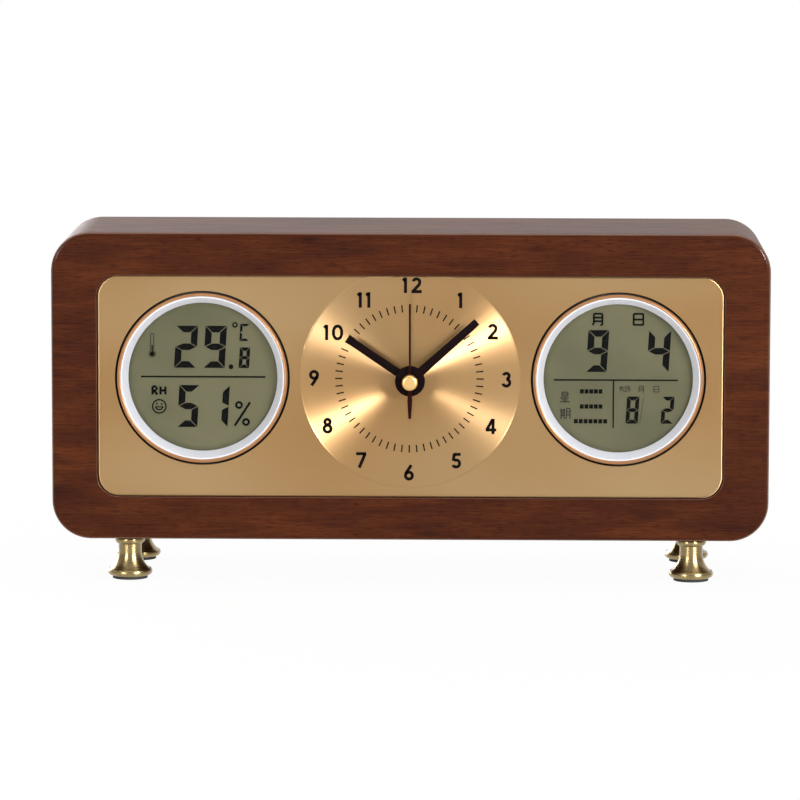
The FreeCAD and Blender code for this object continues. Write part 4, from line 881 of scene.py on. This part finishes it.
@dataclass
class Foot:
    """Turned brass foot: a flange, a flare up to the neck and a beaded collar."""

    name: str
    x: float
    depth: float
    sole: float = 6.5
    flange: float = 7.8
    flange_height: float = 2.4
    step: float = 0.435
    neck: float = 4.05
    neck_low: float = 9.4
    collar: float = 4.6
    collar_low: float = 12.2
    bead: float = 1.568
    pad: float = 1.0

    def upright(self, start: Point, end: Point, at_end: bool) -> list[Point]:
        """Arc that is upright at its end, or at its start."""
        level, away = (end, start) if at_end else (start, end)
        across, along = away[0] - level[0], away[1] - level[1]
        radius = (across**2 + along**2) / (2 * across)
        return curve(start, end, (level[0] + radius, level[1]), 8)

    def build(self) -> None:
        """Turn the profile, from the sole up to the case."""
        brim = (self.flange - self.step, self.flange_height + self.pad)
        flare = (brim[0] - self.step, brim[1])
        neck = (self.neck, self.neck_low)
        low, high = Vector((self.neck, self.collar_low)), Vector((self.collar, FLOOR_TO_CASE))
        half = (high - low).length / 2
        inward = Vector((low.y - high.y, high.x - low.x)).normalized()
        middle = (low + high) / 2 + inward * math.sqrt(self.bead**2 - half**2)
        widest = (self.flange, self.flange_height)
        profile = [(0, self.pad), *self.upright((self.sole, self.pad), widest, True)]
        profile += self.upright(widest, brim, False)[1:]
        profile += [*self.upright(flare, neck, True), *curve(low, high, middle, 10)]
        profile += [(0, FLOOR_TO_CASE)]
        node = f"foot_{self.name}"
        place = upright(self.x, self.depth)
        Blank().spin(profile).set_in(f"{node}_turned", place, Surface.BRASS, replaces=[node])


# Strokes of the dial's figures on a body 0.6 wide and 1 high: a bar is (x, y, x, y), and an arc is
# (centre x, centre y, radius, first angle, last angle).
FIGURES = {
    "0": ((0.3, 0.69, 0.222, 0, 180), (0.3, 0.31, 0.222, 180, 360), (0.078, 0.31, 0.078, 0.69),
          (0.522, 0.31, 0.522, 0.69)),
    "1": ((0.2, 0, 0.2, 1), (0.03, 0.79, 0.2, 0.95)),
    "2": ((0.3, 0.7, 0.212, -40, 165), (0.462, 0.564, 0.1, 0.088), (0.03, 0.09, 0.59, 0.09)),
    "3": ((0.27, 0.735, 0.18, -90, 165), (0.27, 0.31, 0.222, -165, 90)),
    "4": ((0.42, 0, 0.42, 1), (0.02, 0.27, 0.6, 0.27), (0.4, 0.95, 0.07, 0.27)),
    "5": ((0.29, 0.315, 0.227, -155, 131), (0.135, 0.49, 0.19, 0.95), (0.16, 0.91, 0.54, 0.91)),
    "6": ((0.3, 0.31, 0.222, 0, 360), (0.115, 0.43, 0.43, 1)),
    "7": ((0.03, 0.91, 0.58, 0.91), (0.53, 0.93, 0.2, 0)),
    "8": ((0.3, 0.745, 0.168, 0, 360), (0.3, 0.31, 0.222, 0, 360)),
    "9": ((0.3, 0.69, 0.222, 0, 360), (0.485, 0.57, 0.17, 0)),
}

# Middle of each figure, from the middle of the dial, as the maker's print sets them.
FIGURE_SPOTS = {
    "1": (17.2, 27.5), "2": (28.6, 16.6), "3": (33.6, -0.2), "4": (28.1, -16.6),
    "5": (16.1, -28.7), "6": (-0.4, -33.0), "7": (-17.1, -28.6), "8": (-28.8, -16.6),
    "9": (-33.5, 0.2), "10": (-26.8, 16.1), "11": (-16.2, 27.5), "12": (0.6, 32.7),
}


@dataclass
class Dial:
    """Printed figures and minute marks on the spun dial."""

    floor: float = 1.05
    ink: float = 0.04
    mark_inner: float = 23.3
    mark_outer: float = 25.9
    mark_width: float = 0.46
    print_shift: float = -0.3
    figure_height: float = 5.4
    stroke: float = 0.2
    stretch: float = 1.18
    slim: float = 0.3
    gap: float = 0.25

    def figure_width(self, figure: str) -> float:
        """Width of one figure: the one is slim."""
        return self.figure_height * (self.slim if figure == "1" else 0.6 * self.stretch)

    def draw_figure(self, blank: Blank, figure: str, left: float, low: float) -> None:
        """Strokes of one figure with its lower left corner given."""
        high, levels = self.figure_height, (0.0, self.ink)
        stretch = 1.0 if figure == "1" else self.stretch
        width = self.stroke * high
        for stroke in FIGURES[figure]:
            if len(stroke) == 4:
                ends = [(left + x * high * stretch, low + y * high) for x, y in
                        (stroke[:2], stroke[2:])]
                blank.bar(*ends, width, *levels)
            else:
                x, y, radius, *angles = stroke
                centre = (left + x * high * stretch, low + y * high)
                blank.arc(centre, radius * high, tuple(angles), width, levels)

    def build(self) -> None:
        """Print sixty marks and twelve figures."""
        marks, figures = Blank(), Blank()
        centre = Vector((self.print_shift, 0))
        for minute in range(60):
            angle = math.radians(6 * minute)
            aim = Vector((math.sin(angle), math.cos(angle)))
            ends = (centre + aim * self.mark_inner, centre + aim * self.mark_outer)
            marks.bar(*ends, self.mark_width, 0.0, self.ink)
        for name, (x, y) in FIGURE_SPOTS.items():
            widths = [self.figure_width(figure) for figure in name]
            left = x - (sum(widths) + self.gap * self.figure_height * (len(name) - 1)) / 2
            for figure, width in zip(name, widths):
                self.draw_figure(figures, figure, left, y - self.figure_height / 2)
                left += width + self.gap * self.figure_height
        place = facing(depth=self.floor)
        marks.set_in("minute_marks", place, Surface.INK)
        figures.set_in("hour_figures", place, Surface.INK)


# Lit segments of each figure: a at the top, on round the clock to f, and g in the middle.
SEGMENTS = {
    "1": "bc", "2": "abged", "4": "fgbc", "5": "afgcd", "8": "abcdefg", "9": "abcdfg", "C": "afed",
}


@dataclass
class Display:
    """Segments of a liquid-crystal display, drawn from the middle of its window."""

    slant: float = 0.06
    cut: float = 0.13
    ink: float = 0.05
    dark: Blank = field(default_factory=Blank)
    faint: Blank = field(default_factory=Blank)

    @property
    def levels(self) -> Point:
        """Underside and upper side of the segments."""
        return (0.0, self.ink)

    def digit(self, figure: str, sides: Point, heights: Point, stroke: float) -> None:
        """Seven-segment figure inside a box.

        Args:
            figure: figure or letter to show.
            sides: left and right side of the box.
            heights: low and high side of the box.
            stroke: width of the segments.
        """
        left, right = sides
        low, high = heights
        tall = high - low
        wide = right - left - self.slant * tall
        mid, gap, tip = tall / 2, self.cut * stroke / 2, self.cut * stroke
        near = stroke + tip
        upper = [(0, tall - gap), (stroke, tall - stroke - gap), (stroke, mid + stroke / 2 + gap),
                 (0, mid + gap)]
        top = [(gap, tall), (wide - gap, tall), (wide - near, tall - stroke), (near, tall - stroke)]
        middle = [(tip, mid), (near, mid + stroke / 2), (wide - near, mid + stroke / 2),
                  (wide - tip, mid), (wide - near, mid - stroke / 2), (near, mid - stroke / 2)]
        shapes = {
            "a": top,
            "b": [(wide - x, y) for x, y in upper],
            "c": [(wide - x, tall - y) for x, y in upper],
            "d": [(x, tall - y) for x, y in top],
            "e": [(x, tall - y) for x, y in upper],
            "f": upper,
            "g": middle,
        }
        for segment in SEGMENTS[figure]:
            corners = [(left + x + self.slant * y, low + y) for x, y in shapes[segment]]
            self.dark.polygon(corners, *self.levels)

    def rule(self, start: Point, end: Point, width: float = 0.5) -> None:
        """Dark straight line."""
        self.dark.bar(start, end, width, *self.levels)

    def word(
        self, blank: Blank, strokes: Iterable[Quad], sides: Point, heights: Point, width: float
    ) -> None:
        """Character from strokes on a unit square, fitted into a box.

        Args:
            blank: the dark or the faint segments.
            strokes: start and end of each stroke, as (x, y, x, y).
            sides: left and right side of the box.
            heights: low and high side of the box.
            width: width of the strokes.
        """
        across, tall = sides[1] - sides[0], heights[1] - heights[0]
        for x0, y0, x1, y1 in strokes:
            start = (sides[0] + x0 * across, heights[0] + y0 * tall)
            end = (sides[0] + x1 * across, heights[0] + y1 * tall)
            blank.bar(start, end, width, *self.levels)

    def finish(self, name: str, x: float, depth: float) -> None:
        """Set the segments in front of the cell."""
        place = facing(x, depth)
        self.dark.set_in(f"{name}_segments", place, Surface.SEGMENT)
        self.faint.set_in(f"{name}_faint_segments", place, Surface.FAINT)


# Strokes of the calendar's characters on a unit square, each as (x, y, x, y).
DAY = ((0, 0, 0, 1), (1, 0, 1, 1), (0, 1, 1, 1), (0, 0.5, 1, 0.5), (0, 0.04, 1, 0.04))
MONTH = ((0.12, 0.2, 0.12, 1), (0.12, 0.2, 0, 0), (1, 0, 1, 1), (0.12, 1, 1, 1),
         (0.12, 0.66, 1, 0.66), (0.12, 0.34, 1, 0.34), (0.8, 0.02, 1, 0.02))
STAR = ((0.2, 0.6, 0.2, 1), (0.8, 0.6, 0.8, 1), (0.2, 1, 0.8, 1), (0.2, 0.8, 0.8, 0.8),
        (0.2, 0.6, 0.8, 0.6), (0.5, 0, 0.5, 0.52), (0.12, 0.4, 0.9, 0.4), (0.2, 0.2, 0.8, 0.2),
        (0, 0, 1, 0), (0.2, 0.5, 0.05, 0.3))
PERIOD = ((0.12, 0.3, 0.12, 1), (0.42, 0.3, 0.42, 1), (0, 0.85, 0.52, 0.85),
          (0.12, 0.67, 0.42, 0.67), (0.12, 0.49, 0.42, 0.49), (0, 0.3, 0.52, 0.3),
          (0.18, 0.2, 0.02, 0), (0.34, 0.2, 0.5, 0), (0.66, 0.3, 0.66, 1), (0.66, 0.3, 0.58, 0),
          (1, 0, 1, 1), (0.66, 1, 1, 1), (0.66, 0.68, 1, 0.68), (0.66, 0.38, 1, 0.38))
FARM = ((0.1, 0.82, 0.95, 0.82), (0.1, 0.82, 0.02, 0.62), (0.95, 0.82, 0.98, 0.62),
        (0.5, 1, 0.1, 0.35), (0.36, 0.6, 0.36, 0.05), (0.5, 0.8, 0.98, 0.02))
LUNAR = ((0.12, 0.96, 1, 0.96), (0.14, 0.96, 0.02, 0), (0.3, 0.64, 0.95, 0.64),
         (0.92, 0.64, 0.86, 0.04), (0.62, 0.88, 0.6, 0.5), (0.6, 0.5, 0.28, 0.04))


DIGIT_STROKE = 2.3
THERMOMETER_X = -17.75
FACE_X = -15.36


def climate_display() -> Display:
    """Temperature above, humidity below, with a thermometer and a comfort face."""
    shown = Display()
    for figure, sides in (("2", (-10.15, -1.64)), ("9", (0.05, 8.42))):
        shown.digit(figure, sides, (3.05, 17.8), DIGIT_STROKE)
    shown.dark.spin([(0, 0), (0.85, 0), (0.85, shown.ink), (0, shown.ink)], 24, 9.75, 3.46)
    shown.dark.arc((11.18, 18.14), 0.72, (0, 360), 0.55, shown.levels)
    shown.digit("C", (12.68, 16.3), (12.51, 18.53), 0.85)
    shown.digit("8", (12.42, 16.49), (3.03, 10.25), 1.2)
    shown.rule((-21.75, -0.1), (21.75, -0.1), 0.6)
    for figure, sides in (("5", (-9.14, -1.22)), ("1", (0.95, 9.35))):
        shown.digit(figure, sides, (-17.8, -3.05), DIGIT_STROKE)
    for x, y in ((12.51, -10.0), (14.95, -15.98)):
        shown.dark.arc((x, y), 0.98, (0, 360), 0.78, shown.levels)
    shown.rule((11.0, -17.3), (16.4, -9.0), 0.8)
    letters = ((0, 0, 0, 1), (0, 1, 0.3, 1), (0, 0.5, 0.3, 0.5), (0.32, 0.55, 0.32, 0.95),
               (0.1, 0.5, 0.38, 0), (0.62, 0, 0.62, 1), (1, 0, 1, 1), (0.62, 0.5, 1, 0.5))
    shown.word(shown.dark, letters, (-17.7, -13.2), (-6.4, -3.6), 0.8)
    shown.dark.arc((FACE_X, -10.58), 2.35, (0, 360), 0.5, shown.levels)
    shown.dark.arc((FACE_X, -10.4), 1.35, (195, 345), 0.45, shown.levels)
    shown.rule((-16.8, -10.75), (-13.9, -10.75), 0.4)
    for side in (-1, 1):
        eye, wall = FACE_X + side * 0.85, THERMOMETER_X + side * 0.55
        shown.rule((eye, -10.05), (eye, -9.35), 0.5)
        shown.faint.bar((wall, 9.0), (wall, 14.6), 0.28, *shown.levels)
    shown.faint.arc((THERMOMETER_X, 14.6), 0.55, (0, 180), 0.28, shown.levels)
    shown.dark.arc((-17.76, 7.92), 1.1, (120, 420), 0.26, shown.levels)
    shown.dark.spin([(0, 0), (0.8, 0), (0.8, shown.ink), (0, shown.ink)], 24, -17.76, 7.92)
    shown.rule((THERMOMETER_X, 8.0), (THERMOMETER_X, 11.0), 0.45)
    return shown


def calendar_display() -> Display:
    """Month and day above, weekday and the lunar date below."""
    shown = Display()
    shown.word(shown.dark, MONTH, (-9.0, -5.65), (18.55, 22.55), 0.68)
    shown.word(shown.dark, DAY, (5.25, 8.6), (18.55, 22.55), 0.68)
    for figure, sides in (("9", (-11.31, -3.2)), ("4", (9.8, 18.39))):
        shown.digit(figure, sides, (2.15, 16.8), DIGIT_STROKE)
    shown.rule((-22.45, -0.7), (20.81, -0.7), 0.55)
    shown.rule((-1.62, -0.7), (-1.62, -17.5), 0.5)
    shown.word(shown.faint, STAR, (-20.2, -16.8), (-8.4, -5.0), 0.38)
    shown.word(shown.faint, PERIOD, (-20.2, -16.7), (-14.3, -10.8), 0.36)
    for count, first, last, y in ((5, -12.6, -6.12, -4.7), (5, -12.6, -6.12, -10.0),
                                  (7, -14.64, -4.43, -15.2)):
        for step in range(count):
            x = first + (last - first) * step / (count - 1)
            shown.rule((x - 0.675, y), (x + 0.675, y), 1.5)
    for figure, sides in (("8", (2.61, 7.49)), ("2", (14.87, 19.69))):
        shown.digit(figure, sides, (-15.95, -6.45), 1.35)
    for x, strokes in ((1.3, FARM), (3.4, LUNAR), (8.0, MONTH), (13.3, DAY)):
        shown.word(shown.faint, strokes, (x - 0.9, x + 0.9), (-4.9, -2.8), 0.26)
    shown.faint.bar((7.6, -15.9), (8.9, -6.9), 0.16, *shown.levels)
    return shown


@dataclass
class Insert:
    """Round display insert: rose-gold ring, silver cone, window, display and its back."""

    name: str
    x: float
    buttons: tuple[str, ...]
    words: tuple[tuple[str, float], ...]
    draw: Callable[[], Display]
    outer: float = 29.7
    inner: float = 28.6
    front: float = 0.3
    round_over: float = 0.45
    lip: float = 0.2
    groove: Triple = (29.12, 29.42, 0.4)
    ring_back: float = 3.0
    gap: float = 0.05
    window: float = 26.0
    window_depth: float = 4.4
    window_back: float = 5.2
    cell: float = 5.4
    segment_gap: float = 0.04
    cover_back: float = 28.1
    mark_height: float = 0.04
    door_rise: float = 9.0
    word_reach: float = 14.4
    dot_reach: float = 11.8
    word_size: float = 2.6
    word_drop: float = -22.6
    arrow: tuple[Point, ...] = ((-0.6, 0.9), (0.6, 0.9), (0, -0.3))
    pointer: tuple[Point, ...] = ((-0.7, 7.0), (0.7, 7.0), (0, 8.6))
    door_words: tuple[tuple[float, str], ...] = ((90, "CLOSE"), (50, "OPEN"))

    def nose(self, inner: float, outer: float, front: float) -> list[Point]:
        """Rounded top of one lip of the ring, from its outer side to its inner side."""
        lip = self.lip
        outside = rounded((outer, front - lip), (outer, front), (outer - lip, front))
        return outside + rounded((inner + lip, front), (inner, front), (inner, front - lip))

    def build_front(self) -> None:
        """Everything that shows from the front."""
        place = facing(self.x)
        lip, front = self.round_over, -self.front
        inner, outer, deep = self.groove
        ring = [(self.inner, -self.ring_back), (self.outer, -self.ring_back)]
        ring += self.nose(outer, self.outer, front) + [(outer, front - deep), (inner, front - deep)]
        ring += self.nose(self.inner, inner, front)
        blank = Blank().spin(ring, 180)
        blank.set_in(f"{self.name}_ring", place, Surface.ROSE, replaces=[f"{self.name}_trim_ring"])
        rim, sill = self.inner - self.gap, -self.window_depth
        cone = [(self.window, sill), (rim, sill), (rim, front - lip), (rim - lip, front - lip)]
        cone += [(self.window + lip / 3, sill + lip * 1.4), (self.window, sill + lip * 0.8)]
        blank = Blank().spin(cone, 180)
        blank.set_in(f"{self.name}_cone", place, Surface.SILVER, replaces=[f"{self.name}_bezel"])
        back = -self.window_back
        pane = [(0, back), (self.inner, back), (self.inner, sill), (0, sill)]
        blank = Blank().spin(pane, 96)
        blank.set_in(f"{self.name}_window", place, Surface.WINDOW, replaces=[f"{self.name}_lens"])
        dress(Surface.DISPLAY, f"{self.name}_display_cell")
        self.draw().finish(self.name, self.x, self.cell - self.segment_gap)

    def build_back(self) -> None:
        """Housing, cover, door and buttons."""
        name = self.name
        dress(Surface.RUBBER, f"{name}_contact_strips")
        dress(Surface.LAMINATE, f"{name}_circuit_board")
        dress(Surface.NICKEL, f"{name}_coin_cell", f"{name}_battery_contact")
        refined(f"{name}_housing", Surface.BLACK, edge=0.15)
        refined(f"{name}_rear_cover", Surface.BLACK, edge=0.15)
        refined(f"{name}_battery_door", Surface.DARK, f"{name}_door", edge=0.15)
        for button in self.buttons:
            body = f"{name}_{button}_key"
            refined(f"{name}_{button}_button", Surface.GREY, body, edge=0.1)
        self.build_marks()

    def build_marks(self) -> None:
        """Printed words at the door and the buttons."""
        print_level = (0.0, self.mark_height)
        marks, pointer = Blank(), Blank()
        door = Vector((0, self.door_rise))
        for angle, word in self.door_words:
            spot, dot = (heading(angle) * reach for reach in (self.word_reach, self.dot_reach))
            turn = math.radians(angle - 90)
            marks.lettering(word, self.word_size, print_level, tuple(spot + door), turn)
            corners = [Matrix.Rotation(turn, 2) @ Vector(corner) for corner in self.arrow]
            marks.polygon(flat(corner + dot + door for corner in corners), *print_level)
        for word, across in self.words:
            marks.lettering(word, self.word_size, print_level, (across, self.word_drop))
        place = from_behind(self.x, self.cover_back, DIAL_CENTRE)
        marks.set_in(f"{self.name}_back_marks", place, Surface.MARKING)
        pointer.polygon(self.pointer, *print_level)
        place = from_behind(self.x, self.cover_back, DIAL_CENTRE + self.door_rise)
        pointer.set_in(f"{self.name}_door_mark", place, Surface.MARKING, f"{self.name}_door")


@dataclass
class Hands:
    """Hour, minute and second hands with the cap in front."""

    cap_radius: float = 2.7
    cap_front: float = 12.6
    cap_back: float = 9.1
    cap_round: float = 0.9

    def build(self) -> None:
        """Dress the hands and turn the cap."""
        refined("hour_hand", Surface.PAINT, "hour_hand_pipe", edge=0.1)
        refined("minute_hand", Surface.PAINT, "minute_hand_pipe", edge=0.1)
        refined("second_hand", Surface.BROWN, "second_hand_arbor", edge=0.05)
        refined("dial_nut", Surface.BRASS, edge=0.1)
        radius, front, lip = self.cap_radius, self.cap_front, self.cap_round
        profile = [(0, self.cap_back), (radius, self.cap_back)]
        profile += rounded((radius, front - lip), (radius, front), (radius - lip, front), 8)
        profile += [(0, front)]
        blank = Blank().spin(profile, 64)
        place = facing()
        blank.set_in("cap_turned", place, Surface.CAP, "second_hand_arbor", ["hand_cap"])


@dataclass
class Movement:
    """Quartz movement: moulded shell, train, motor, battery and set knob."""

    wheels: tuple[str, ...] = (
        "third_wheel", "second_wheel", "intermediate_wheel", "rotor", "cannon_pinion",
        "reverse_wheel", "hour_wheel",
    )
    insert_middles: Point = (-INSERT_SPREAD, INSERT_SPREAD)
    screw_reach: float = 20.61
    screw_head: float = 29.0
    cross: Triple = (1.8, 0.45, 0.65)
    knob: Point = (17.46, 77.2)
    arrow_reach: float = 8.6
    arrow_angles: Point = (130, 220)
    arrow_width: float = 0.6
    arrow_half: float = 1.1
    arrow_tip: float = 2.2
    word_gap: float = 1.2
    battery_words: tuple[tuple[str, float], ...] = (("+", -22.5), ("AA  1.5V", 0.0), ("–", 22.5))
    cover_back: float = 25.4
    mark_height: float = 0.04
    word_size: float = 2.6
    word_drop: float = -8.9

    def build(self) -> None:
        """Dress every piece of the movement."""
        dress(Surface.ACETAL, *self.wheels)
        dress(Surface.BRASS, "centre_wheel")
        dress(Surface.LAMINATE, "movement_circuit_board")
        dress(Surface.COPPER, "coil")
        dress(Surface.NICKEL, "stator")
        dress(Surface.BLACK, "train_plate")
        refined("movement_base", Surface.BLACK, edge=0.2)
        refined("movement_cover", Surface.BLACK, edge=0.15)
        refined("set_knob", Surface.DARK, "knob", edge=0.1)
        refined("battery", Surface.JACKET, edge=0.15)
        refined("battery_terminals", Surface.NICKEL)
        places = tuple(
            (middle + x, DIAL_CENTRE + z)
            for middle in self.insert_middles
            for x in (-self.screw_reach, self.screw_reach)
            for z in (-self.screw_reach, self.screw_reach)
        )
        crosses = CrossRecess(places, self.screw_head, *self.cross).tool()
        refined("insert_screws", Surface.STEEL, edge=0.06, tool=crosses)
        self.build_marks()

    def build_marks(self) -> None:
        """Printed words and the arrow that shows how the knob turns."""
        marks, levels = Blank(), (0.0, self.mark_height)
        knob = Vector((-self.knob[0], self.knob[1] - DIAL_CENTRE))
        marks.arc(tuple(knob), self.arrow_reach, self.arrow_angles, self.arrow_width, levels)
        aim = heading(self.arrow_angles[1])
        ahead = Vector((-aim.y, aim.x))
        tip = knob + aim * self.arrow_reach
        aside = aim * self.arrow_half
        marks.polygon(flat([tip + aside, tip - aside, tip + ahead * self.arrow_tip]), *levels)
        below = knob.y - self.arrow_reach - self.word_gap
        marks.lettering("SET", self.word_size, levels, (knob.x, below))
        for word, x in self.battery_words:
            marks.lettering(word, self.word_size, levels, (x, self.word_drop))
        place = from_behind(0, self.cover_back, DIAL_CENTRE)
        marks.set_in("movement_marks", place, Surface.MARKING)


@dataclass(frozen=True)
class Lamp:
    """Rectangular lamp that looks at the clock's face. Its place and size are in metres, and it is
    leant over by some degrees. A strip shows in metal and lacquer and lights nothing else."""

    name: str
    place: Triple
    size: Point
    power: float
    lean: float = 0.0
    strip: bool = False

    def build(self) -> None:
        """Hang the lamp."""
        light = bpy.data.lights.new(self.name, "AREA")
        light.shape, light.energy = "RECTANGLE", self.power
        light.size, light.size_y = self.size
        made = linked(self.name, light)
        aim = Vector((0, 0, DIAL_CENTRE * MM)) - Vector(self.place)
        turn = aim.to_track_quat("-Z", "Y").to_matrix()
        turn = turn @ Matrix.Rotation(math.radians(90 + self.lean), 3, "Z")
        made.matrix_world = Matrix.Translation(self.place) @ turn.to_4x4()
        made.visible_diffuse = not self.strip


LAMPS = (
    Lamp("key_softbox", (0.98, -1.22, 0.45), (0.6, 0.8), 11.0, 28.0),
    Lamp("fill_softbox", (-0.85, -1.4, 0.36), (0.5, 0.5), 4.0, 17.0),
    Lamp("top_softbox", (0.0, 0.1, 1.6), (1.6, 1.6), 11.0),
    Lamp("rear_softbox", (-0.9, 1.4, 0.5), (1.2, 1.2), 26.0),
    Lamp("right_strip", (0.95, -1.18, 0.44), (0.2, 0.56), 46.0, 22.0, strip=True),
    Lamp("left_strip", (-0.9, -1.3, 0.33), (0.2, 0.56), 11.0, -16.0, strip=True),
)


@dataclass
class Studio:
    """Floor, backdrop, lamps and camera."""

    camera_place: Triple = (0.02917, -1.7603, 0.2808)
    tilt: float = 7.109
    yaw: float = -1.080
    roll: float = 0.103
    focal_length: float = 226.17
    far_end: float = 30.0
    floor_size: float = 12.0
    backdrop_distance: float = 4.0
    near_white: float = 0.965
    air: float = 0.32
    room: float = 0.65
    flags: float = 0.25
    paper: bpy.types.Material = field(init=False)

    def backing(self) -> bpy.types.Material:
        """Pale studio paper, white to the camera and in reflections, that keeps a shadow."""
        made = bpy.data.materials.new("studio_paper")
        tree = cleared(made)
        place = add_node(tree, "TexCoord").outputs["Object"]
        reach = add_node(tree, "VectorMath", {0: place}, operation="LENGTH")
        white_share = spread(tree, reach.outputs["Value"], self.near_white, 1.0, 0.16, 0.4)
        share = calculate(tree, "MULTIPLY", seen_by_eye(tree), white_share)
        paper = add_node(tree, "BsdfDiffuse", {"Color": srgb("F8F8F8")})
        white = add_node(tree, "Emission", {"Color": srgb("FFFFFF"), "Strength": 1.0})
        inputs = {0: share, 1: paper.outputs[0], 2: white.outputs[0]}
        mixed = add_node(tree, "MixShader", inputs)
        add_node(tree, "OutputMaterial", {"Surface": mixed.outputs[0]})
        return made

    def sheet(self, name: str, place: Matrix) -> None:
        """Large flat sheet of studio paper."""
        mesh = bmesh.new()
        grid = {"x_segments": 1, "y_segments": 1, "size": self.floor_size / 2}
        bmesh.ops.create_grid(mesh, matrix=place, **grid)
        data = bpy.data.meshes.new(name)
        mesh.to_mesh(data)
        mesh.free()
        data.materials.append(self.paper)
        linked(name, data)

    def build(self) -> None:
        """Set up the whole studio."""
        self.paper = self.backing()
        self.sheet("studio_floor", Matrix.Identity(4))
        back = Matrix.Translation((0, self.backdrop_distance, 0))
        self.sheet("studio_backdrop", back @ Matrix.Rotation(math.pi / 2, 4, "X"))
        self.world()
        for lamp in LAMPS:
            lamp.build()
        self.camera()

    def world(self) -> None:
        """Even surroundings: white to the camera, and in reflections a grey room behind it with
        a dark flag on each side."""
        made = bpy.data.worlds.new("studio_air")
        tree = cleared(made)
        aim = split(tree, add_node(tree, "TexCoord").outputs["Generated"])
        aside = spread(tree, calculate(tree, "ABSOLUTE", aim["X"]), 0.0, 1.0, 0.12, 0.4)
        level = spread(tree, aim["Z"], 1.0, 0.0, 0.16, 0.4)
        flags = spread(tree, calculate(tree, "MULTIPLY", aside, level), 1.0, self.flags, 0.0, 1.0)
        mirrored = spread(tree, aim["Y"], self.room, 1.0, -0.6, 0.1)
        mirrored = calculate(tree, "MULTIPLY", mirrored, flags)
        rays = add_node(tree, "LightPath").outputs
        strength = {0: seen_by_eye(tree), 2: self.air, 3: mirrored}
        strength = add_node(tree, "Mix", strength).outputs[0]
        strength = {0: rays["Is Camera Ray"], 2: strength, 3: 1.0}
        strength = add_node(tree, "Mix", strength).outputs[0]
        inputs = {"Color": srgb("FFFFFF"), "Strength": strength}
        air = add_node(tree, "Background", inputs)
        add_node(tree, "OutputWorld", {"Surface": air.outputs[0]})
        bpy.context.scene.world = made

    def camera(self) -> None:
        """Camera at the photograph's viewing angle."""
        lens = bpy.data.cameras.new("camera")
        lens.lens = self.focal_length
        lens.clip_end = self.far_end
        made = linked("camera", lens)
        angles = (math.radians(90 - self.tilt), 0, -math.radians(self.yaw))
        turn = Euler(angles).to_matrix() @ Matrix.Rotation(math.radians(self.roll), 3, "Z")
        made.matrix_world = Matrix.Translation(self.camera_place) @ turn.to_4x4()
        bpy.context.scene.camera = made


def seen_by_eye(tree: Tree) -> Socket:
    """One for camera rays and for what metal and glass show, else nothing."""
    rays = add_node(tree, "LightPath").outputs
    mirrored = calculate(tree, "MAXIMUM", rays["Is Glossy Ray"], rays["Is Transmission Ray"])
    return calculate(tree, "MAXIMUM", rays["Is Camera Ray"], mirrored)


def main() -> None:
    """Build the clock, sub-assembly by sub-assembly, and its studio."""
    logging.basicConfig(level=logging.INFO, format="%(name)s: %(message)s")
    bpy.context.scene.view_settings.view_transform = "Standard"
    case = Case()
    case.build()
    case.build_back()
    refined("front_panel", Surface.PANEL)
    for row, depth in FOOT_DEPTHS.items():
        for side, x in (("left", -FOOT_SPREAD), ("right", FOOT_SPREAD)):
            Foot(f"{row}_{side}", x, depth).build()
    dress(Surface.RUBBER, "foot_pads")
    dress(Surface.STEEL, "foot_studs")
    Dial().build()
    inserts = [
        Insert("climate", -INSERT_SPREAD, ("unit",), (("°C/°F", 0.0),), climate_display),
        Insert("calendar", INSERT_SPREAD, ("down", "set", "up"),
               (("UP", -9.5), ("SET", 0.0), ("DOWN", 9.5)), calendar_display),
    ]
    for insert in inserts:
        insert.build_front()
        insert.build_back()
    Hands().build()
    Movement().build()
    Studio().build()


if __name__ == "__main__":
    main()
